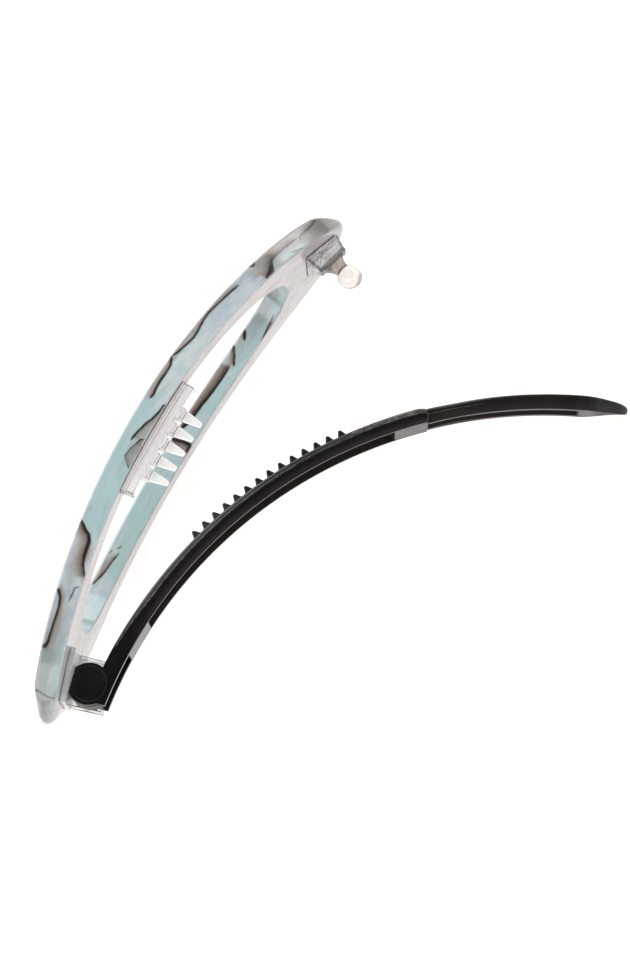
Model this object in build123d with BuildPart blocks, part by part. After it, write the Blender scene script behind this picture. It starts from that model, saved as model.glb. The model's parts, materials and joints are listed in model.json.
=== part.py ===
from build123d import *
import math
import os

# A hair barrette: a slotted bow with a clear hinge bracket, a clear ball catch, a clear comb
# and a black toothed arm. It lies on its side with the arm open, leaned as it settles by itself.
# In the clip's own frame X runs along the chord of the bow from the hinge to the catch,
# Y points to the outside of the bow and Z is the hinge axis. Sizes are millimetres and degrees.

# Bow
bow_length = 111.0
bow_inner_radius = 183.6
bow_thickness = 4.5
bow_half_width = 19.1
bow_plan_length = 111.6
bow_plan_power = 0.54
bow_outer_nose_radius = 1.5
bow_inner_nose_radius = 2.9
slot_half_length = 38.4
slot_centre = 0.5
slot_half_width = 14.8
slot_plan_power = 0.44
plan_stations = 40

# Gap left for the glue under each clear piece
glue_gap = 0.1

# Comb on the near rail
comb_start_angle = -4.6
comb_stop_angle = 2.7
comb_height = 2.4
comb_width = 2.6
comb_side = 16.9
comb_teeth = 5
comb_first_angle = -3.05
comb_tooth_pitch = 1.01
comb_tooth_length = 4.7
comb_tooth_root = 2.1
comb_tooth_tip = 0.9
comb_tooth_thickness = 1.2
comb_step_length = 1.0
comb_step_width = 2.5

# Hinge
hinge_angle = -14.92
hinge_depth = 4.25
barrel_radius = 3.95
barrel_half_width = 0.95
barrel_side_gap = 0.12
barrel_floor_gap = 0.3
ear_start_angle = -16.35
ear_stop_angle = -13.35
ear_tail_depth = 7.6
ear_catch_depth = 6.4
ear_corner_radius = 0.8
ear_thickness = 0.85
hinge_base_thickness = 1.0
hinge_base_wide_half = 7.5
hinge_base_narrow_half = 4.0
pin_radius = 1.1
bore_gap = 0.05
hinge_relief_radius = 8.2

# Arm, in angles about its own bend centre from the line through the hinge
arm_swing = 7.04
arm_bend_distance = 90.0
arm_inner_radius = 85.7
arm_thickness = 3.2
arm_half_width = 2.95
arm_start_angle = -1.9
arm_edge_radius = 1.2
channel_depth = 2.0
channel_wall = 0.9
first_bridge_stop = 9.9
second_bridge_start = 49.5
shoulder_angle = 53.7
fork_half_width = 2.1
fork_thickness = 2.95
fork_edge_radius = 0.8
fork_slot_half_width = 1.3
fork_slot_start = 54.6
fork_slot_stop = 73.5
arm_stop_angle = 79.0
arm_tip_radius = 1.2
saw_teeth = 14
saw_first_angle = 22.0
saw_last_angle = 43.4
saw_height = 1.55
saw_base = 1.9
saw_tip = 0.35
saw_half_width = 1.5
saw_root = 0.4

# Catch
catch_angle = 15.45
catch_base_start = -4.8
catch_base_stop = 3.6
catch_base_near_wide = 6.2
catch_base_near_narrow = 4.0
catch_base_far_wide = 3.4
catch_base_far_narrow = 2.6
catch_block_length = 6.8
catch_block_depth = 2.8
catch_block_half_width = 1.25
ball_depth = 7.0
ball_radius = 2.37
neck_radius = 1.2
neck_root_half = 3.1
neck_half_thickness = 1.15
neck_sink = 0.8

# How the open clip leans when it settles on its rim and its arm, and where its own frame then stands
# over the middle of the floor under it
settle_about_x = 15.01
settle_about_y = -2.62
settle_shift_x = -0.01
settle_shift_y = 22.66
settle_height = 16.399

clip = Plane(
    Location((settle_shift_x, settle_shift_y, settle_height), (settle_about_x, settle_about_y, 0))
)
plan = Plane(clip.origin, x_dir=clip.x_dir, z_dir=-clip.y_dir)
bow_half_turn = math.degrees(math.asin(bow_length / 2 / bow_inner_radius))
bow_centre = (0.0, -math.sqrt(bow_inner_radius**2 - (bow_length / 2) ** 2))
ear_gap_half = barrel_half_width + barrel_side_gap
ear_outer = ear_gap_half + ear_thickness
foot_window_half = arm_half_width + barrel_side_gap
channel_half_width = arm_half_width - channel_wall


def polar(centre, radius, angle):
    """Point at a radius from a centre, with the angle measured from +Y towards +X."""
    turn = math.radians(angle)
    return (centre[0] + radius * math.sin(turn), centre[1] + radius * math.cos(turn))


def band(centre, inner, outer, start, stop):
    """Flat band between two radii and two angles."""
    middle = (start + stop) / 2
    with BuildSketch() as face:
        with BuildLine():
            ThreePointArc(*(polar(centre, outer, a) for a in (start, middle, stop)))
            Line(polar(centre, outer, stop), polar(centre, inner, stop))
            ThreePointArc(*(polar(centre, inner, a) for a in (stop, middle, start)))
            Line(polar(centre, inner, start), polar(centre, outer, start))
        make_face()
    return face.sketch


def plan_outline(centre, half_length, half_width, power):
    """Pointed oval whose half width is full * (1 - share of length squared) ** power."""
    turns = [math.tau * step / plan_stations for step in range(plan_stations)]
    rim = [
        (
            centre + half_length * math.cos(turn),
            math.copysign(half_width * abs(math.sin(turn)) ** (2 * power), math.sin(turn)),
        )
        for turn in turns
    ]
    with BuildSketch() as face:
        with BuildLine():
            Spline(*rim, periodic=True)
        make_face()
    return face.sketch


def radial_frame(centre, radius, angle):
    """Place on a circle, turned so that its +Y points away from the centre."""
    return Location((*polar(centre, radius, angle), 0), (0, 0, -angle))


def inward_plane(angle, depth):
    """Plane facing the head side at a depth under the inner face of the bow."""
    seat = clip.from_local_coords(Vector(*polar(bow_centre, bow_inner_radius - depth, angle), 0))
    tangent = clip.x_dir.rotate(Axis((0, 0, 0), clip.z_dir), -angle)
    outward = clip.y_dir.rotate(Axis((0, 0, 0), clip.z_dir), -angle)
    return Plane(seat, x_dir=tangent, z_dir=-outward)


def base_outline(start, stop, near, far):
    """Four-sided foot between two places along the bow, with near and far reaches at each."""
    with BuildSketch() as face:
        Polygon((start, -far[0]), (stop, -far[1]), (stop, near[1]), (start, near[0]), align=None)
    return face.sketch


hinge = polar(bow_centre, bow_inner_radius - hinge_depth, hinge_angle)
arm_centre = polar(hinge, arm_bend_distance, 180 - arm_swing)
arm_outer_radius = arm_inner_radius + arm_thickness
seat_radius = bow_inner_radius - glue_gap

with BuildPart() as bow:
    bow_outer_radius = bow_inner_radius + bow_thickness
    with BuildSketch(clip.offset(-bow_half_width)) as bow_side:
        add(band(bow_centre, bow_inner_radius, bow_outer_radius, -bow_half_turn, bow_half_turn))
        fillet(bow_side.vertices().sort_by(Axis.Y)[:2], bow_inner_nose_radius)
        fillet(bow_side.vertices().sort_by(Axis.X)[0], bow_outer_nose_radius)
        fillet(bow_side.vertices().sort_by(Axis.X)[-1], bow_outer_nose_radius)
    extrude(amount=2 * bow_half_width)
    with BuildSketch(plan):
        add(plan_outline(0.0, bow_plan_length / 2, bow_half_width, bow_plan_power))
    extrude(amount=bow_plan_length / 2, both=True, mode=Mode.INTERSECT)
    with BuildSketch(plan):
        add(plan_outline(slot_centre, slot_half_length, slot_half_width, slot_plan_power))
    extrude(amount=bow_length / 2, both=True, mode=Mode.SUBTRACT)

comb_root_radius = seat_radius - comb_height
with BuildPart() as comb:
    with BuildSketch(clip.offset(comb_side - comb_width / 2)):
        add(band(bow_centre, comb_root_radius, seat_radius, comb_start_angle, comb_stop_angle))
    extrude(amount=comb_width)
    for tooth in range(comb_teeth):
        place = radial_frame(bow_centre, comb_root_radius, comb_first_angle + tooth * comb_tooth_pitch)
        with BuildSketch(clip.offset(comb_side - comb_tooth_thickness / 2)):
            with Locations(place):
                Polygon(
                    (-comb_tooth_root / 2, 0),
                    (comb_tooth_root / 2, 0),
                    (comb_tooth_tip / 2, -comb_tooth_length),
                    (-comb_tooth_tip / 2, -comb_tooth_length),
                    align=None,
                )
        extrude(amount=comb_tooth_thickness)
        with BuildSketch(clip.offset(comb_side - comb_width / 2)):
            with Locations(place):
                Rectangle(comb_step_width, 2 * comb_step_length)
        extrude(amount=comb_width)

base_floor = seat_radius - hinge_base_thickness
ear_middle_angle = (ear_start_angle + ear_stop_angle) / 2
ear_half_length = math.radians(ear_stop_angle - ear_start_angle) / 2 * bow_inner_radius
hinge_foot_reach = (hinge_base_narrow_half, hinge_base_wide_half)
with BuildPart() as hinge_bracket:
    with BuildSketch(clip.offset(-hinge_base_wide_half)):
        add(band(bow_centre, base_floor, seat_radius, ear_start_angle, ear_stop_angle))
    extrude(amount=2 * hinge_base_wide_half)
    with BuildSketch(inward_plane(ear_middle_angle, 0)):
        add(base_outline(-ear_half_length, ear_half_length, hinge_foot_reach, hinge_foot_reach))
    extrude(amount=ear_tail_depth, mode=Mode.INTERSECT)
    with BuildSketch(clip.offset(-foot_window_half)):
        with Locations(hinge):
            Circle(barrel_radius + barrel_floor_gap)
    extrude(amount=2 * foot_window_half, mode=Mode.SUBTRACT)
    with BuildSketch(clip.offset(-ear_outer)) as ear_side:
        Polygon(
            polar(bow_centre, (seat_radius + base_floor) / 2, ear_start_angle),
            polar(bow_centre, (seat_radius + base_floor) / 2, ear_stop_angle),
            polar(bow_centre, bow_inner_radius - ear_catch_depth, ear_stop_angle),
            polar(bow_centre, bow_inner_radius - ear_tail_depth, ear_start_angle),
            align=None,
        )
        fillet(ear_side.vertices().sort_by(Axis.Y)[:2], ear_corner_radius)
    extrude(amount=2 * ear_outer)
    with BuildSketch(clip.offset(-ear_gap_half)):
        add(band(bow_centre, bow_inner_radius - 2 * ear_tail_depth, base_floor, 2 * ear_start_angle, 0))
        with Locations(hinge):
            Circle(barrel_radius + barrel_floor_gap)
    extrude(amount=2 * ear_gap_half, mode=Mode.SUBTRACT)
    with BuildSketch(clip.offset(-ear_outer)):
        with Locations(hinge):
            Circle(pin_radius + bore_gap)
    extrude(amount=2 * ear_outer, mode=Mode.SUBTRACT)

arm_start = arm_start_angle - arm_swing
shoulder = shoulder_angle - arm_swing
arm_stop = arm_stop_angle - arm_swing
fork_outer_radius = arm_inner_radius + fork_thickness
arm_mid_radius = arm_inner_radius + arm_thickness / 2

with BuildPart() as fork:
    with BuildSketch(clip.offset(-fork_half_width)) as fork_side:
        add(band(arm_centre, arm_inner_radius, fork_outer_radius, shoulder, arm_stop))
        tip_middle = polar(arm_centre, arm_mid_radius, arm_stop)
        tip_corners = fork_side.vertices().sort_by_distance((*tip_middle, 0))[:2]
        fillet(tip_corners, arm_tip_radius)
    extrude(amount=2 * fork_half_width)
    fillet(
        fork.edges().filter_by(GeomType.CIRCLE).filter_by(lambda e: e.radius > arm_mid_radius),
        fork_edge_radius,
    )

with BuildPart() as arm:
    with BuildSketch(clip.offset(-arm_half_width)):
        add(band(arm_centre, arm_inner_radius, arm_outer_radius, arm_start, shoulder))
    extrude(amount=2 * arm_half_width)
    fillet(
        arm.edges().filter_by(GeomType.CIRCLE).filter_by(lambda e: e.radius > arm_mid_radius),
        arm_edge_radius,
    )
    channel_floor = arm_inner_radius + channel_depth
    below_arm = arm_inner_radius - arm_thickness
    with BuildSketch(clip.offset(-channel_half_width)):
        add(
            band(
                arm_centre,
                below_arm,
                channel_floor,
                first_bridge_stop - arm_swing,
                second_bridge_start - arm_swing,
            )
        )
    extrude(amount=2 * channel_half_width, mode=Mode.SUBTRACT)
    with BuildSketch(clip.offset(-channel_half_width)):
        with Locations(hinge):
            Circle(hinge_relief_radius)
    extrude(amount=2 * channel_half_width, mode=Mode.SUBTRACT)
    with BuildSketch(clip.offset(-barrel_half_width)):
        add(
            band(
                arm_centre,
                arm_inner_radius,
                arm_outer_radius,
                arm_start,
                first_bridge_stop - arm_swing,
            )
        )
        with Locations(hinge):
            Circle(barrel_radius)
    extrude(amount=2 * barrel_half_width)
    for side in (clip.offset(-arm_half_width), clip.offset(channel_half_width)):
        with BuildSketch(side):
            with Locations(hinge):
                Circle(barrel_radius)
        extrude(amount=channel_wall)
    with BuildSketch(clip.offset(-channel_half_width)):
        with Locations(hinge):
            Circle(pin_radius)
    extrude(amount=2 * channel_half_width)
    add(fork.part)
    saw_pitch = (saw_last_angle - saw_first_angle) / (saw_teeth - 1)
    for tooth in range(saw_teeth):
        angle = saw_first_angle + tooth * saw_pitch - arm_swing
        with BuildSketch(clip.offset(-saw_half_width)):
            with Locations(radial_frame(arm_centre, arm_outer_radius, angle)):
                Polygon(
                    (-saw_base / 2, -saw_root),
                    (saw_base / 2, -saw_root),
                    (saw_base / 2, 0),
                    (saw_tip / 2, saw_height),
                    (-saw_tip / 2, saw_height),
                    (-saw_base / 2, 0),
                    align=None,
                )
        extrude(amount=2 * saw_half_width)
    with BuildSketch(clip.offset(-fork_slot_half_width)):
        add(
            band(
                arm_centre,
                below_arm,
                arm_outer_radius + arm_thickness,
                fork_slot_start - arm_swing,
                fork_slot_stop - arm_swing,
            )
        )
    extrude(amount=2 * fork_slot_half_width, mode=Mode.SUBTRACT)

catch_seat = inward_plane(catch_angle, 0)
catch_side = Plane(catch_seat.origin, x_dir=catch_seat.x_dir, z_dir=clip.z_dir)
catch_drop = glue_gap + catch_base_start**2 / (2 * bow_inner_radius)
with BuildPart() as catch:
    with BuildSketch(catch_seat.offset(catch_drop)):
        add(
            base_outline(
                catch_base_start,
                catch_base_stop,
                (catch_base_near_wide, catch_base_near_narrow),
                (catch_base_far_wide, catch_base_far_narrow),
            )
        )
    with BuildSketch(catch_seat.offset(catch_block_depth)):
        Rectangle(catch_block_length, 2 * catch_block_half_width)
    loft()
    with BuildSketch(catch_side.offset(-neck_half_thickness)):
        with BuildLine():
            Polyline(
                (neck_radius, -ball_depth + ball_radius),
                (neck_radius, -ball_depth),
                (-neck_radius, -ball_depth),
                (-neck_radius, -ball_depth + ball_radius),
            )
            Spline(
                (-neck_radius, -ball_depth + ball_radius),
                (-neck_root_half, -catch_block_depth),
                tangents=((0, 1), (-1, 0)),
            )
            Polyline(
                (-neck_root_half, -catch_block_depth),
                (-neck_root_half, -catch_block_depth + neck_sink),
                (neck_root_half, -catch_block_depth + neck_sink),
                (neck_root_half, -catch_block_depth),
            )
            Spline(
                (neck_root_half, -catch_block_depth),
                (neck_radius, -ball_depth + ball_radius),
                tangents=((-1, 0), (0, -1)),
            )
        make_face()
    extrude(amount=2 * neck_half_thickness)
    ball_middle = catch_side.from_local_coords(Vector(0, -ball_depth, 0))
    with Locations(Plane(ball_middle, x_dir=-catch_side.y_dir, z_dir=clip.z_dir)):
        Sphere(ball_radius)

os.makedirs("parts", exist_ok=True)
bow.part.label = "bow"
export_step(bow.part, "parts/bow.step")
comb.part.label = "comb"
export_step(comb.part, "parts/comb.step")
hinge_bracket.part.label = "hinge_bracket"
export_step(hinge_bracket.part, "parts/hinge_bracket.step")
arm.part.label = "arm"
export_step(arm.part, "parts/arm.step")
catch.part.label = "catch"
export_step(catch.part, "parts/catch.step")
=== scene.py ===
import json
import logging
import math
from dataclasses import dataclass, field
from enum import Enum

import bpy
import numpy as np
from mathutils import Matrix, Vector


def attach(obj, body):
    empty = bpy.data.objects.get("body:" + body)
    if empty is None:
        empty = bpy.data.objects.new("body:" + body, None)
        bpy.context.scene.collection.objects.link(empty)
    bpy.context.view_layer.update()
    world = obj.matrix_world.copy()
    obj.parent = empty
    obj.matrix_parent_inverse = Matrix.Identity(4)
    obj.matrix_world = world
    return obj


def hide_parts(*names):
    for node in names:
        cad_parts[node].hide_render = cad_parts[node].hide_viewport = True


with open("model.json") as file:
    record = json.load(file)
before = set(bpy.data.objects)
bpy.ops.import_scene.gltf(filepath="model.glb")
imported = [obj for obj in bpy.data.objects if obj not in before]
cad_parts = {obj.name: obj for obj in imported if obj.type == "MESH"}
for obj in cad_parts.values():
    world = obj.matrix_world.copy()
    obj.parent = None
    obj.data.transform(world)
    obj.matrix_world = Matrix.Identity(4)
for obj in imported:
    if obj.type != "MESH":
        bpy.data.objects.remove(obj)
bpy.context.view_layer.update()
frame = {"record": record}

# An open hair barrette: a marbled acetate bow, a clear comb, a clear hinge bracket, a clear ball catch
# and a black toothed arm. Lengths in the classes are millimetres in the clip's own frame: X along the
# bow's chord from the hinge to the catch, Y to the outside of the bow and Z along the hinge's axis.

Array = np.ndarray
Pair = tuple[float, float]
Triple = tuple[float, float, float]

LOG = logging.getLogger("barrette")
MM = 0.001
BOW_CHORD = 111.0
BOW_INNER_RADIUS = 183.6
HINGE_DEPTH = 4.25
HINGE_DEGREES = -14.92
GLUE_GAP = 0.1
ACETATE_IOR = 1.49
BLACK_IOR = 1.5


class Slot(Enum):
    """Material slots that the record names."""

    ACETATE = "marbled_acetate"
    CLEAR = "clear_plastic"
    BLACK = "black_plastic"


class Body(Enum):
    """Bodies that the pieces ride on."""

    FRAME = "frame"
    ARM = "arm"


# Shader maths


class Value:
    """A shader socket that takes part in arithmetic."""

    def __init__(self, graph: "Graph", socket: bpy.types.NodeSocket) -> None:
        """Keeps the graph and the socket."""
        self.graph = graph
        self.socket = socket

    def math(self, operation: str, first: object, second: object = 0.0) -> "Value":
        """Adds one Math node.

        Args:
            operation: name of the node's operation.
            first: first number or value.
            second: second number or value.
        Returns:
            The node's result.
        """
        return self.graph.value("ShaderNodeMath", {"operation": operation}, {0: first, 1: second})

    def __add__(self, other: object) -> "Value":
        """Sum."""
        return self.math("ADD", self, other)

    __radd__ = __add__

    def __mul__(self, other: object) -> "Value":
        """Product."""
        return self.math("MULTIPLY", self, other)

    __rmul__ = __mul__

    def __sub__(self, other: object) -> "Value":
        """Difference."""
        return self.math("SUBTRACT", self, other)

    def __rsub__(self, other: object) -> "Value":
        """Difference the other way round."""
        return self.math("SUBTRACT", other, self)

    def __abs__(self) -> "Value":
        """Size without sign."""
        return self.math("ABSOLUTE", self)

    def step(self, low: float, high: float) -> "Value":
        """Smooth step t * t * (3 - 2 t) with t = (value - low) / (high - low) kept from 0 to 1.

        Args:
            low: value at which the step is 0.
            high: value at which the step is 1, which may be the smaller of the two.
        Returns:
            The step.
        """
        settings = {"interpolation_type": "SMOOTHSTEP"}
        if low <= high:
            return self.graph.value("ShaderNodeMapRange", settings, {0: self, 1: low, 2: high})
        return 1.0 - self.graph.value("ShaderNodeMapRange", settings, {0: self, 1: high, 2: low})


class Graph:
    """The nodes of one material, around its Principled shader."""

    def __init__(self, name: str) -> None:
        """Makes the material and keeps its node tree.

        Args:
            name: name of the material.
        """
        self.material = bpy.data.materials.new(name)
        self.material.use_nodes = True
        self.tree = self.material.node_tree
        self.shader = self.tree.nodes["Principled BSDF"]

    def node(self, kind: str, settings: dict | None = None, inputs: dict | None = None) -> bpy.types.Node:
        """Adds any node.

        Args:
            kind: type of the node.
            settings: its own settings, set first.
            inputs: values or links of its sockets, by index or name.
        Returns:
            The node.
        """
        made = self.tree.nodes.new(kind)
        for key, value in (settings or {}).items():
            setattr(made, key, value)
        for key, value in (inputs or {}).items():
            if isinstance(value, Value):
                self.tree.links.new(value.socket, made.inputs[key])
            else:
                made.inputs[key].default_value = value
        return made

    def value(self, kind: str, settings: dict | None = None, inputs: dict | None = None, output: int = 0) -> Value:
        """Adds any node and gives one of its outputs as a value."""
        return Value(self, self.node(kind, settings, inputs).outputs[output])

    def attribute(self, name: str, number: bool = True) -> Value:
        """Reads an attribute of the mesh, as a number or as a vector."""
        return self.value("ShaderNodeAttribute", {"attribute_name": name}, output=2 if number else 1)

    def place(self) -> Value:
        """Object coordinates, in metres."""
        return self.value("ShaderNodeTexCoord", output=3)

    def scaled(self, vector: Value, scale: Triple) -> Value:
        """A vector with each of its parts times a number."""
        return self.value("ShaderNodeVectorMath", {"operation": "MULTIPLY"}, {0: vector, 1: scale})

    def noise(self, vector: Value, scale: float = 1.0, detail: float = 3.0, warp: float = 0.0) -> Value:
        """Fractal noise from 0 to 1.

        Args:
            vector: place that it reads.
            scale: waves to one unit of the place.
            detail: number of finer layers.
            warp: distortion.
        Returns:
            The noise.
        """
        sockets = {"Vector": vector, "Scale": scale, "Detail": detail, "Distortion": warp}
        return self.value("ShaderNodeTexNoise", None, sockets)

    def mix(self, first: object, second: object, share: object) -> Value:
        """Mixes two colours.

        Args:
            first: colour at share 0, a value or three linear numbers.
            second: colour at share 1.
            share: number or value from 0 to 1.
        Returns:
            The mixed colour.
        """
        made = self.node("ShaderNodeMix", {"data_type": "RGBA", "clamp_factor": True})
        for index, item in ((0, share), (6, first), (7, second)):
            if isinstance(item, Value):
                self.tree.links.new(item.socket, made.inputs[index])
            else:
                made.inputs[index].default_value = (*item, 1.0) if isinstance(item, tuple) else item
        return Value(self, made.outputs[2])

    def tone(self, colour: Value, amount: Value) -> Value:
        """A colour times a number that varies, as a Mix node that multiplies.

        Args:
            colour: the colour.
            amount: the number.
        Returns:
            The darker or lighter colour.
        """
        grey = self.value("ShaderNodeCombineXYZ", None, {0: amount, 1: amount, 2: amount})
        made = self.node("ShaderNodeMix", {"data_type": "RGBA", "blend_type": "MULTIPLY"}, {0: 1.0})
        self.tree.links.new(colour.socket, made.inputs[6])
        self.tree.links.new(grey.socket, made.inputs[7])
        return Value(self, made.outputs[2])

    def bump(self, height: Value, depth: float, strength: float) -> Value:
        """Normal from a height that runs from 0 to 1 over a depth in metres."""
        sockets = {"Height": height, "Distance": depth, "Strength": strength}
        return self.value("ShaderNodeBump", None, sockets)

    def finish(self, **sockets: object) -> bpy.types.Material:
        """Sets the Principled shader's sockets and gives the material.

        Args:
            **sockets: values by the socket's name, with _ for each space.
        Returns:
            The material.
        """
        for key, value in sockets.items():
            socket = self.shader.inputs[key.replace("_", " ")]
            if isinstance(value, Value):
                self.tree.links.new(value.socket, socket)
            else:
                socket.default_value = (*value, 1.0) if socket.type == "RGBA" else value
        return self.material


# Finishes


@dataclass(frozen=True)
class MarbledAcetate:
    """Polished acetate: pale blue-green, pearl and lilac clouds with thin dark veins.

    Where the attribute charted is 1, the veins come in as a distance in the attribute vein, with the
    soft haze and the darker shade beside them. Elsewhere a vein runs where a slow noise over the
    sheet's own coordinates crosses one level, and a brown haze lies on its high side. The attributes
    tint and lilac shift the clouds' colours, grey lays smoke over them, dim darkens the thin ends and
    lays a painted shade on the rounded arrises, and inner is 1 on the paler inner face. The waves are
    counts to a millimetre along, across and in depth.
    """

    pearl: tuple = (0.66, 0.70, 0.71)
    teal: tuple = (0.435, 0.585, 0.595)
    deep_teal: tuple = (0.27, 0.385, 0.385)
    sage: tuple = (0.47, 0.56, 0.515)
    lilac: tuple = (0.47, 0.525, 0.63)
    blush: tuple = (0.60, 0.53, 0.515)
    brown: tuple = (0.285, 0.245, 0.215)
    umber: tuple = (0.085, 0.062, 0.052)
    vein: tuple = (0.012, 0.0095, 0.009)
    smoke: tuple = (0.285, 0.278, 0.258)
    inner: tuple = (0.408, 0.393, 0.394)
    inner_blush: tuple = (0.31, 0.268, 0.258)
    slow_waves: tuple = (1 / 15.0, 0.115, 0.16)
    cloud_waves: tuple = (0.13, 0.2, 0.42)
    patch_waves: tuple = (0.2, 0.3, 0.6)
    fine_waves: tuple = (0.9, 1.3, 1.6)
    wisp_waves: tuple = (0.16, 0.9, 1.7)
    free_vein_level: float = 0.555
    free_vein_width: float = 0.0095
    free_haze_width: float = 0.06
    free_shade_width: float = 0.016
    gloss: float = 0.12
    coat: float = 0.6
    coat_gloss: float = 0.06
    glow: float = 0.1
    glow_reach: tuple = (0.8, 0.9, 0.9)
    ripple_depth: float = 0.00003

    def material(self, name: str) -> bpy.types.Material:
        """Makes the material.

        Args:
            name: name of the material.
        Returns:
            The material.
        """
        g = Graph(name)
        sheet = g.attribute("sheet", number=False)
        slow = g.noise(g.scaled(sheet, self.slow_waves), detail=2.0, warp=0.7)
        cloud = g.noise(g.scaled(sheet, self.cloud_waves), warp=1.3)
        patch = g.noise(g.scaled(sheet, self.patch_waves), detail=2.0, warp=1.0)
        fine = g.noise(g.scaled(sheet, self.fine_waves), detail=4.0, warp=0.5)
        wisp = g.noise(g.scaled(sheet, self.wisp_waves), detail=4.0, warp=0.8)
        charted, inner = g.attribute("charted"), g.attribute("inner")
        # The veins, and the haze and the shade beside them
        past = slow - self.free_vein_level + (fine - 0.5) * 0.008
        free_line = abs(past).step(self.free_vein_width, 0.002)
        free_haze = past.step(0.0, 0.004) * past.step(self.free_haze_width, 0.004)
        free_shade = past.step(0.0, 0.004) * past.step(self.free_shade_width, 0.002) * 0.8
        wander = (patch - 0.5) * 0.5 + (fine - 0.5) * 0.14
        chart_line = (g.attribute("vein") + wander * 0.55).step(0.2, -0.12)
        line = chart_line * charted + free_line * (1.0 - charted)
        haze = g.attribute("haze") * charted + free_haze * (1.0 - charted) * 0.8
        haze = haze * (0.55 + 0.9 * cloud)
        shade = g.attribute("shade") * charted + free_shade * (1.0 - charted)
        shade = shade * (0.45 + 1.1 * wisp)
        # The clouds
        tint = g.attribute("tint") + (cloud - 0.5) * 1.6
        violet = g.attribute("lilac") + (wisp - 0.5) * 1.9
        base = g.mix(self.pearl, self.teal, tint.step(0.05, 0.85))
        base = g.mix(base, self.deep_teal, (tint + (patch - 0.5) * 1.5).step(0.95, 1.75) * 0.55)
        base = g.mix(base, self.sage, (wisp * 0.7 + patch * 0.5).step(0.56, 0.82) * 0.5)
        base = g.mix(base, self.lilac, violet.step(0.3, 1.05) * 0.8)
        grey = (g.attribute("grey") + (wisp - 0.5) * 0.5 + (cloud - 0.5) * 0.5).step(0.1, 0.95)
        base = g.mix(base, self.smoke, grey * 0.92)
        base = g.mix(base, self.blush, (haze * 1.9 + (0.5 - patch) * 1.2).step(0.15, 0.95) * 0.75)
        base = g.tone(base, 0.82 + wisp * 0.26 + fine * 0.1)
        base = g.mix(base, self.brown, haze.step(0.02, 0.62) * 0.92)
        base = g.mix(base, self.umber, shade.step(0.04, 0.72) * 0.92)
        base = g.tone(base, g.attribute("dim"))
        # The inner face, and the veins' dark lines on all the rest
        pale = g.mix(self.inner, self.inner_blush, (patch + haze * 0.08).step(0.42, 0.7) * 0.7)
        base = g.mix(base, pale, inner * 0.96)
        line = line * (1.0 - inner * 0.97)
        base = g.mix(base, self.vein, line * 0.95)
        rough = self.gloss + fine * 0.05 + line * 0.04
        normal = g.bump((wisp * 0.7 + fine * 0.3) * (1.0 - inner * 0.7), self.ripple_depth, 0.22)
        return g.finish(
            Base_Color=base, Roughness=rough, Normal=normal, IOR=ACETATE_IOR,
            Coat_Weight=self.coat, Coat_Roughness=self.coat_gloss,
            Subsurface_Weight=self.glow, Subsurface_Radius=self.glow_reach, Subsurface_Scale=MM,
        )


@dataclass(frozen=True)
class ClearPlastic:
    """Clear moulded plastic: flow lines along the piece with painted light and dark streaks of refraction, painted
    dark lines of refraction along its edges, small facets with painted dark flecks, and frost.

    The attribute run holds a place in the piece's own directions, edge is 1 where a painted dark line of
    refraction runs along its arrises and other edges, and facet is 1 where small planes break up its
    surface and painted dark flecks lie on them. The streak and the waves are counts to a millimetre.
    """

    tint: tuple = (0.93, 0.93, 0.925)
    shade: tuple = (0.80, 0.79, 0.775)
    # Colour of the painted dark lines of refraction and of the painted dark flecks
    edge: tuple = (0.16, 0.152, 0.148)
    frost: float = 0.06
    clarity: float = 0.9
    streak: tuple = (0.25, 2.4, 2.4)
    cloud_waves: float = 0.7
    grain_waves: float = 9.0
    facet_waves: float = 1.6
    coat: float = 0.2
    coat_gloss: float = 0.08
    ripple_depth: float = 0.00006

    def material(self, name: str) -> bpy.types.Material:
        """Makes the material.

        Args:
            name: name of the material.
        Returns:
            The material.
        """
        g = Graph(name)
        run = g.attribute("run", number=False)
        flow = g.noise(g.scaled(run, self.streak), warp=0.6)
        cloud = g.noise(run, self.cloud_waves, warp=0.8)
        grain = g.noise(run, self.grain_waves, detail=2.0)
        cells = {"feature": "F1"}, {"Vector": run, "Scale": self.facet_waves}
        plane, hue = (g.value("ShaderNodeTexVoronoi", *cells, output) for output in (0, 1))
        facet = g.attribute("facet")
        spark = g.value("ShaderNodeSeparateColor", None, {0: hue})
        # Flow lines, with painted light and dark streaks of refraction
        base = g.mix(self.tint, self.shade, (flow * 0.7 + cloud * 0.3).step(0.4, 0.64))
        # Painted dark flecks of refraction on the facets
        base = g.mix(base, self.edge, facet * spark.step(0.45, 0.85) * 0.6)
        # Painted dark lines of refraction along the edges
        base = g.mix(base, self.edge, (g.attribute("edge") * (0.55 + 0.7 * cloud)).step(0.1, 1.0))
        rough = self.frost * (0.7 + flow * 0.6) + grain * 0.03
        height = flow * 0.4 + grain * 0.15 + plane * facet * 2.5
        normal = g.bump(height, self.ripple_depth, 0.2 + self.frost * 0.4)
        return g.finish(
            Base_Color=base, Roughness=rough, Normal=normal, IOR=ACETATE_IOR, Transmission_Weight=self.clarity,
            Coat_Weight=self.coat, Coat_Roughness=self.coat_gloss,
        )


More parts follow.
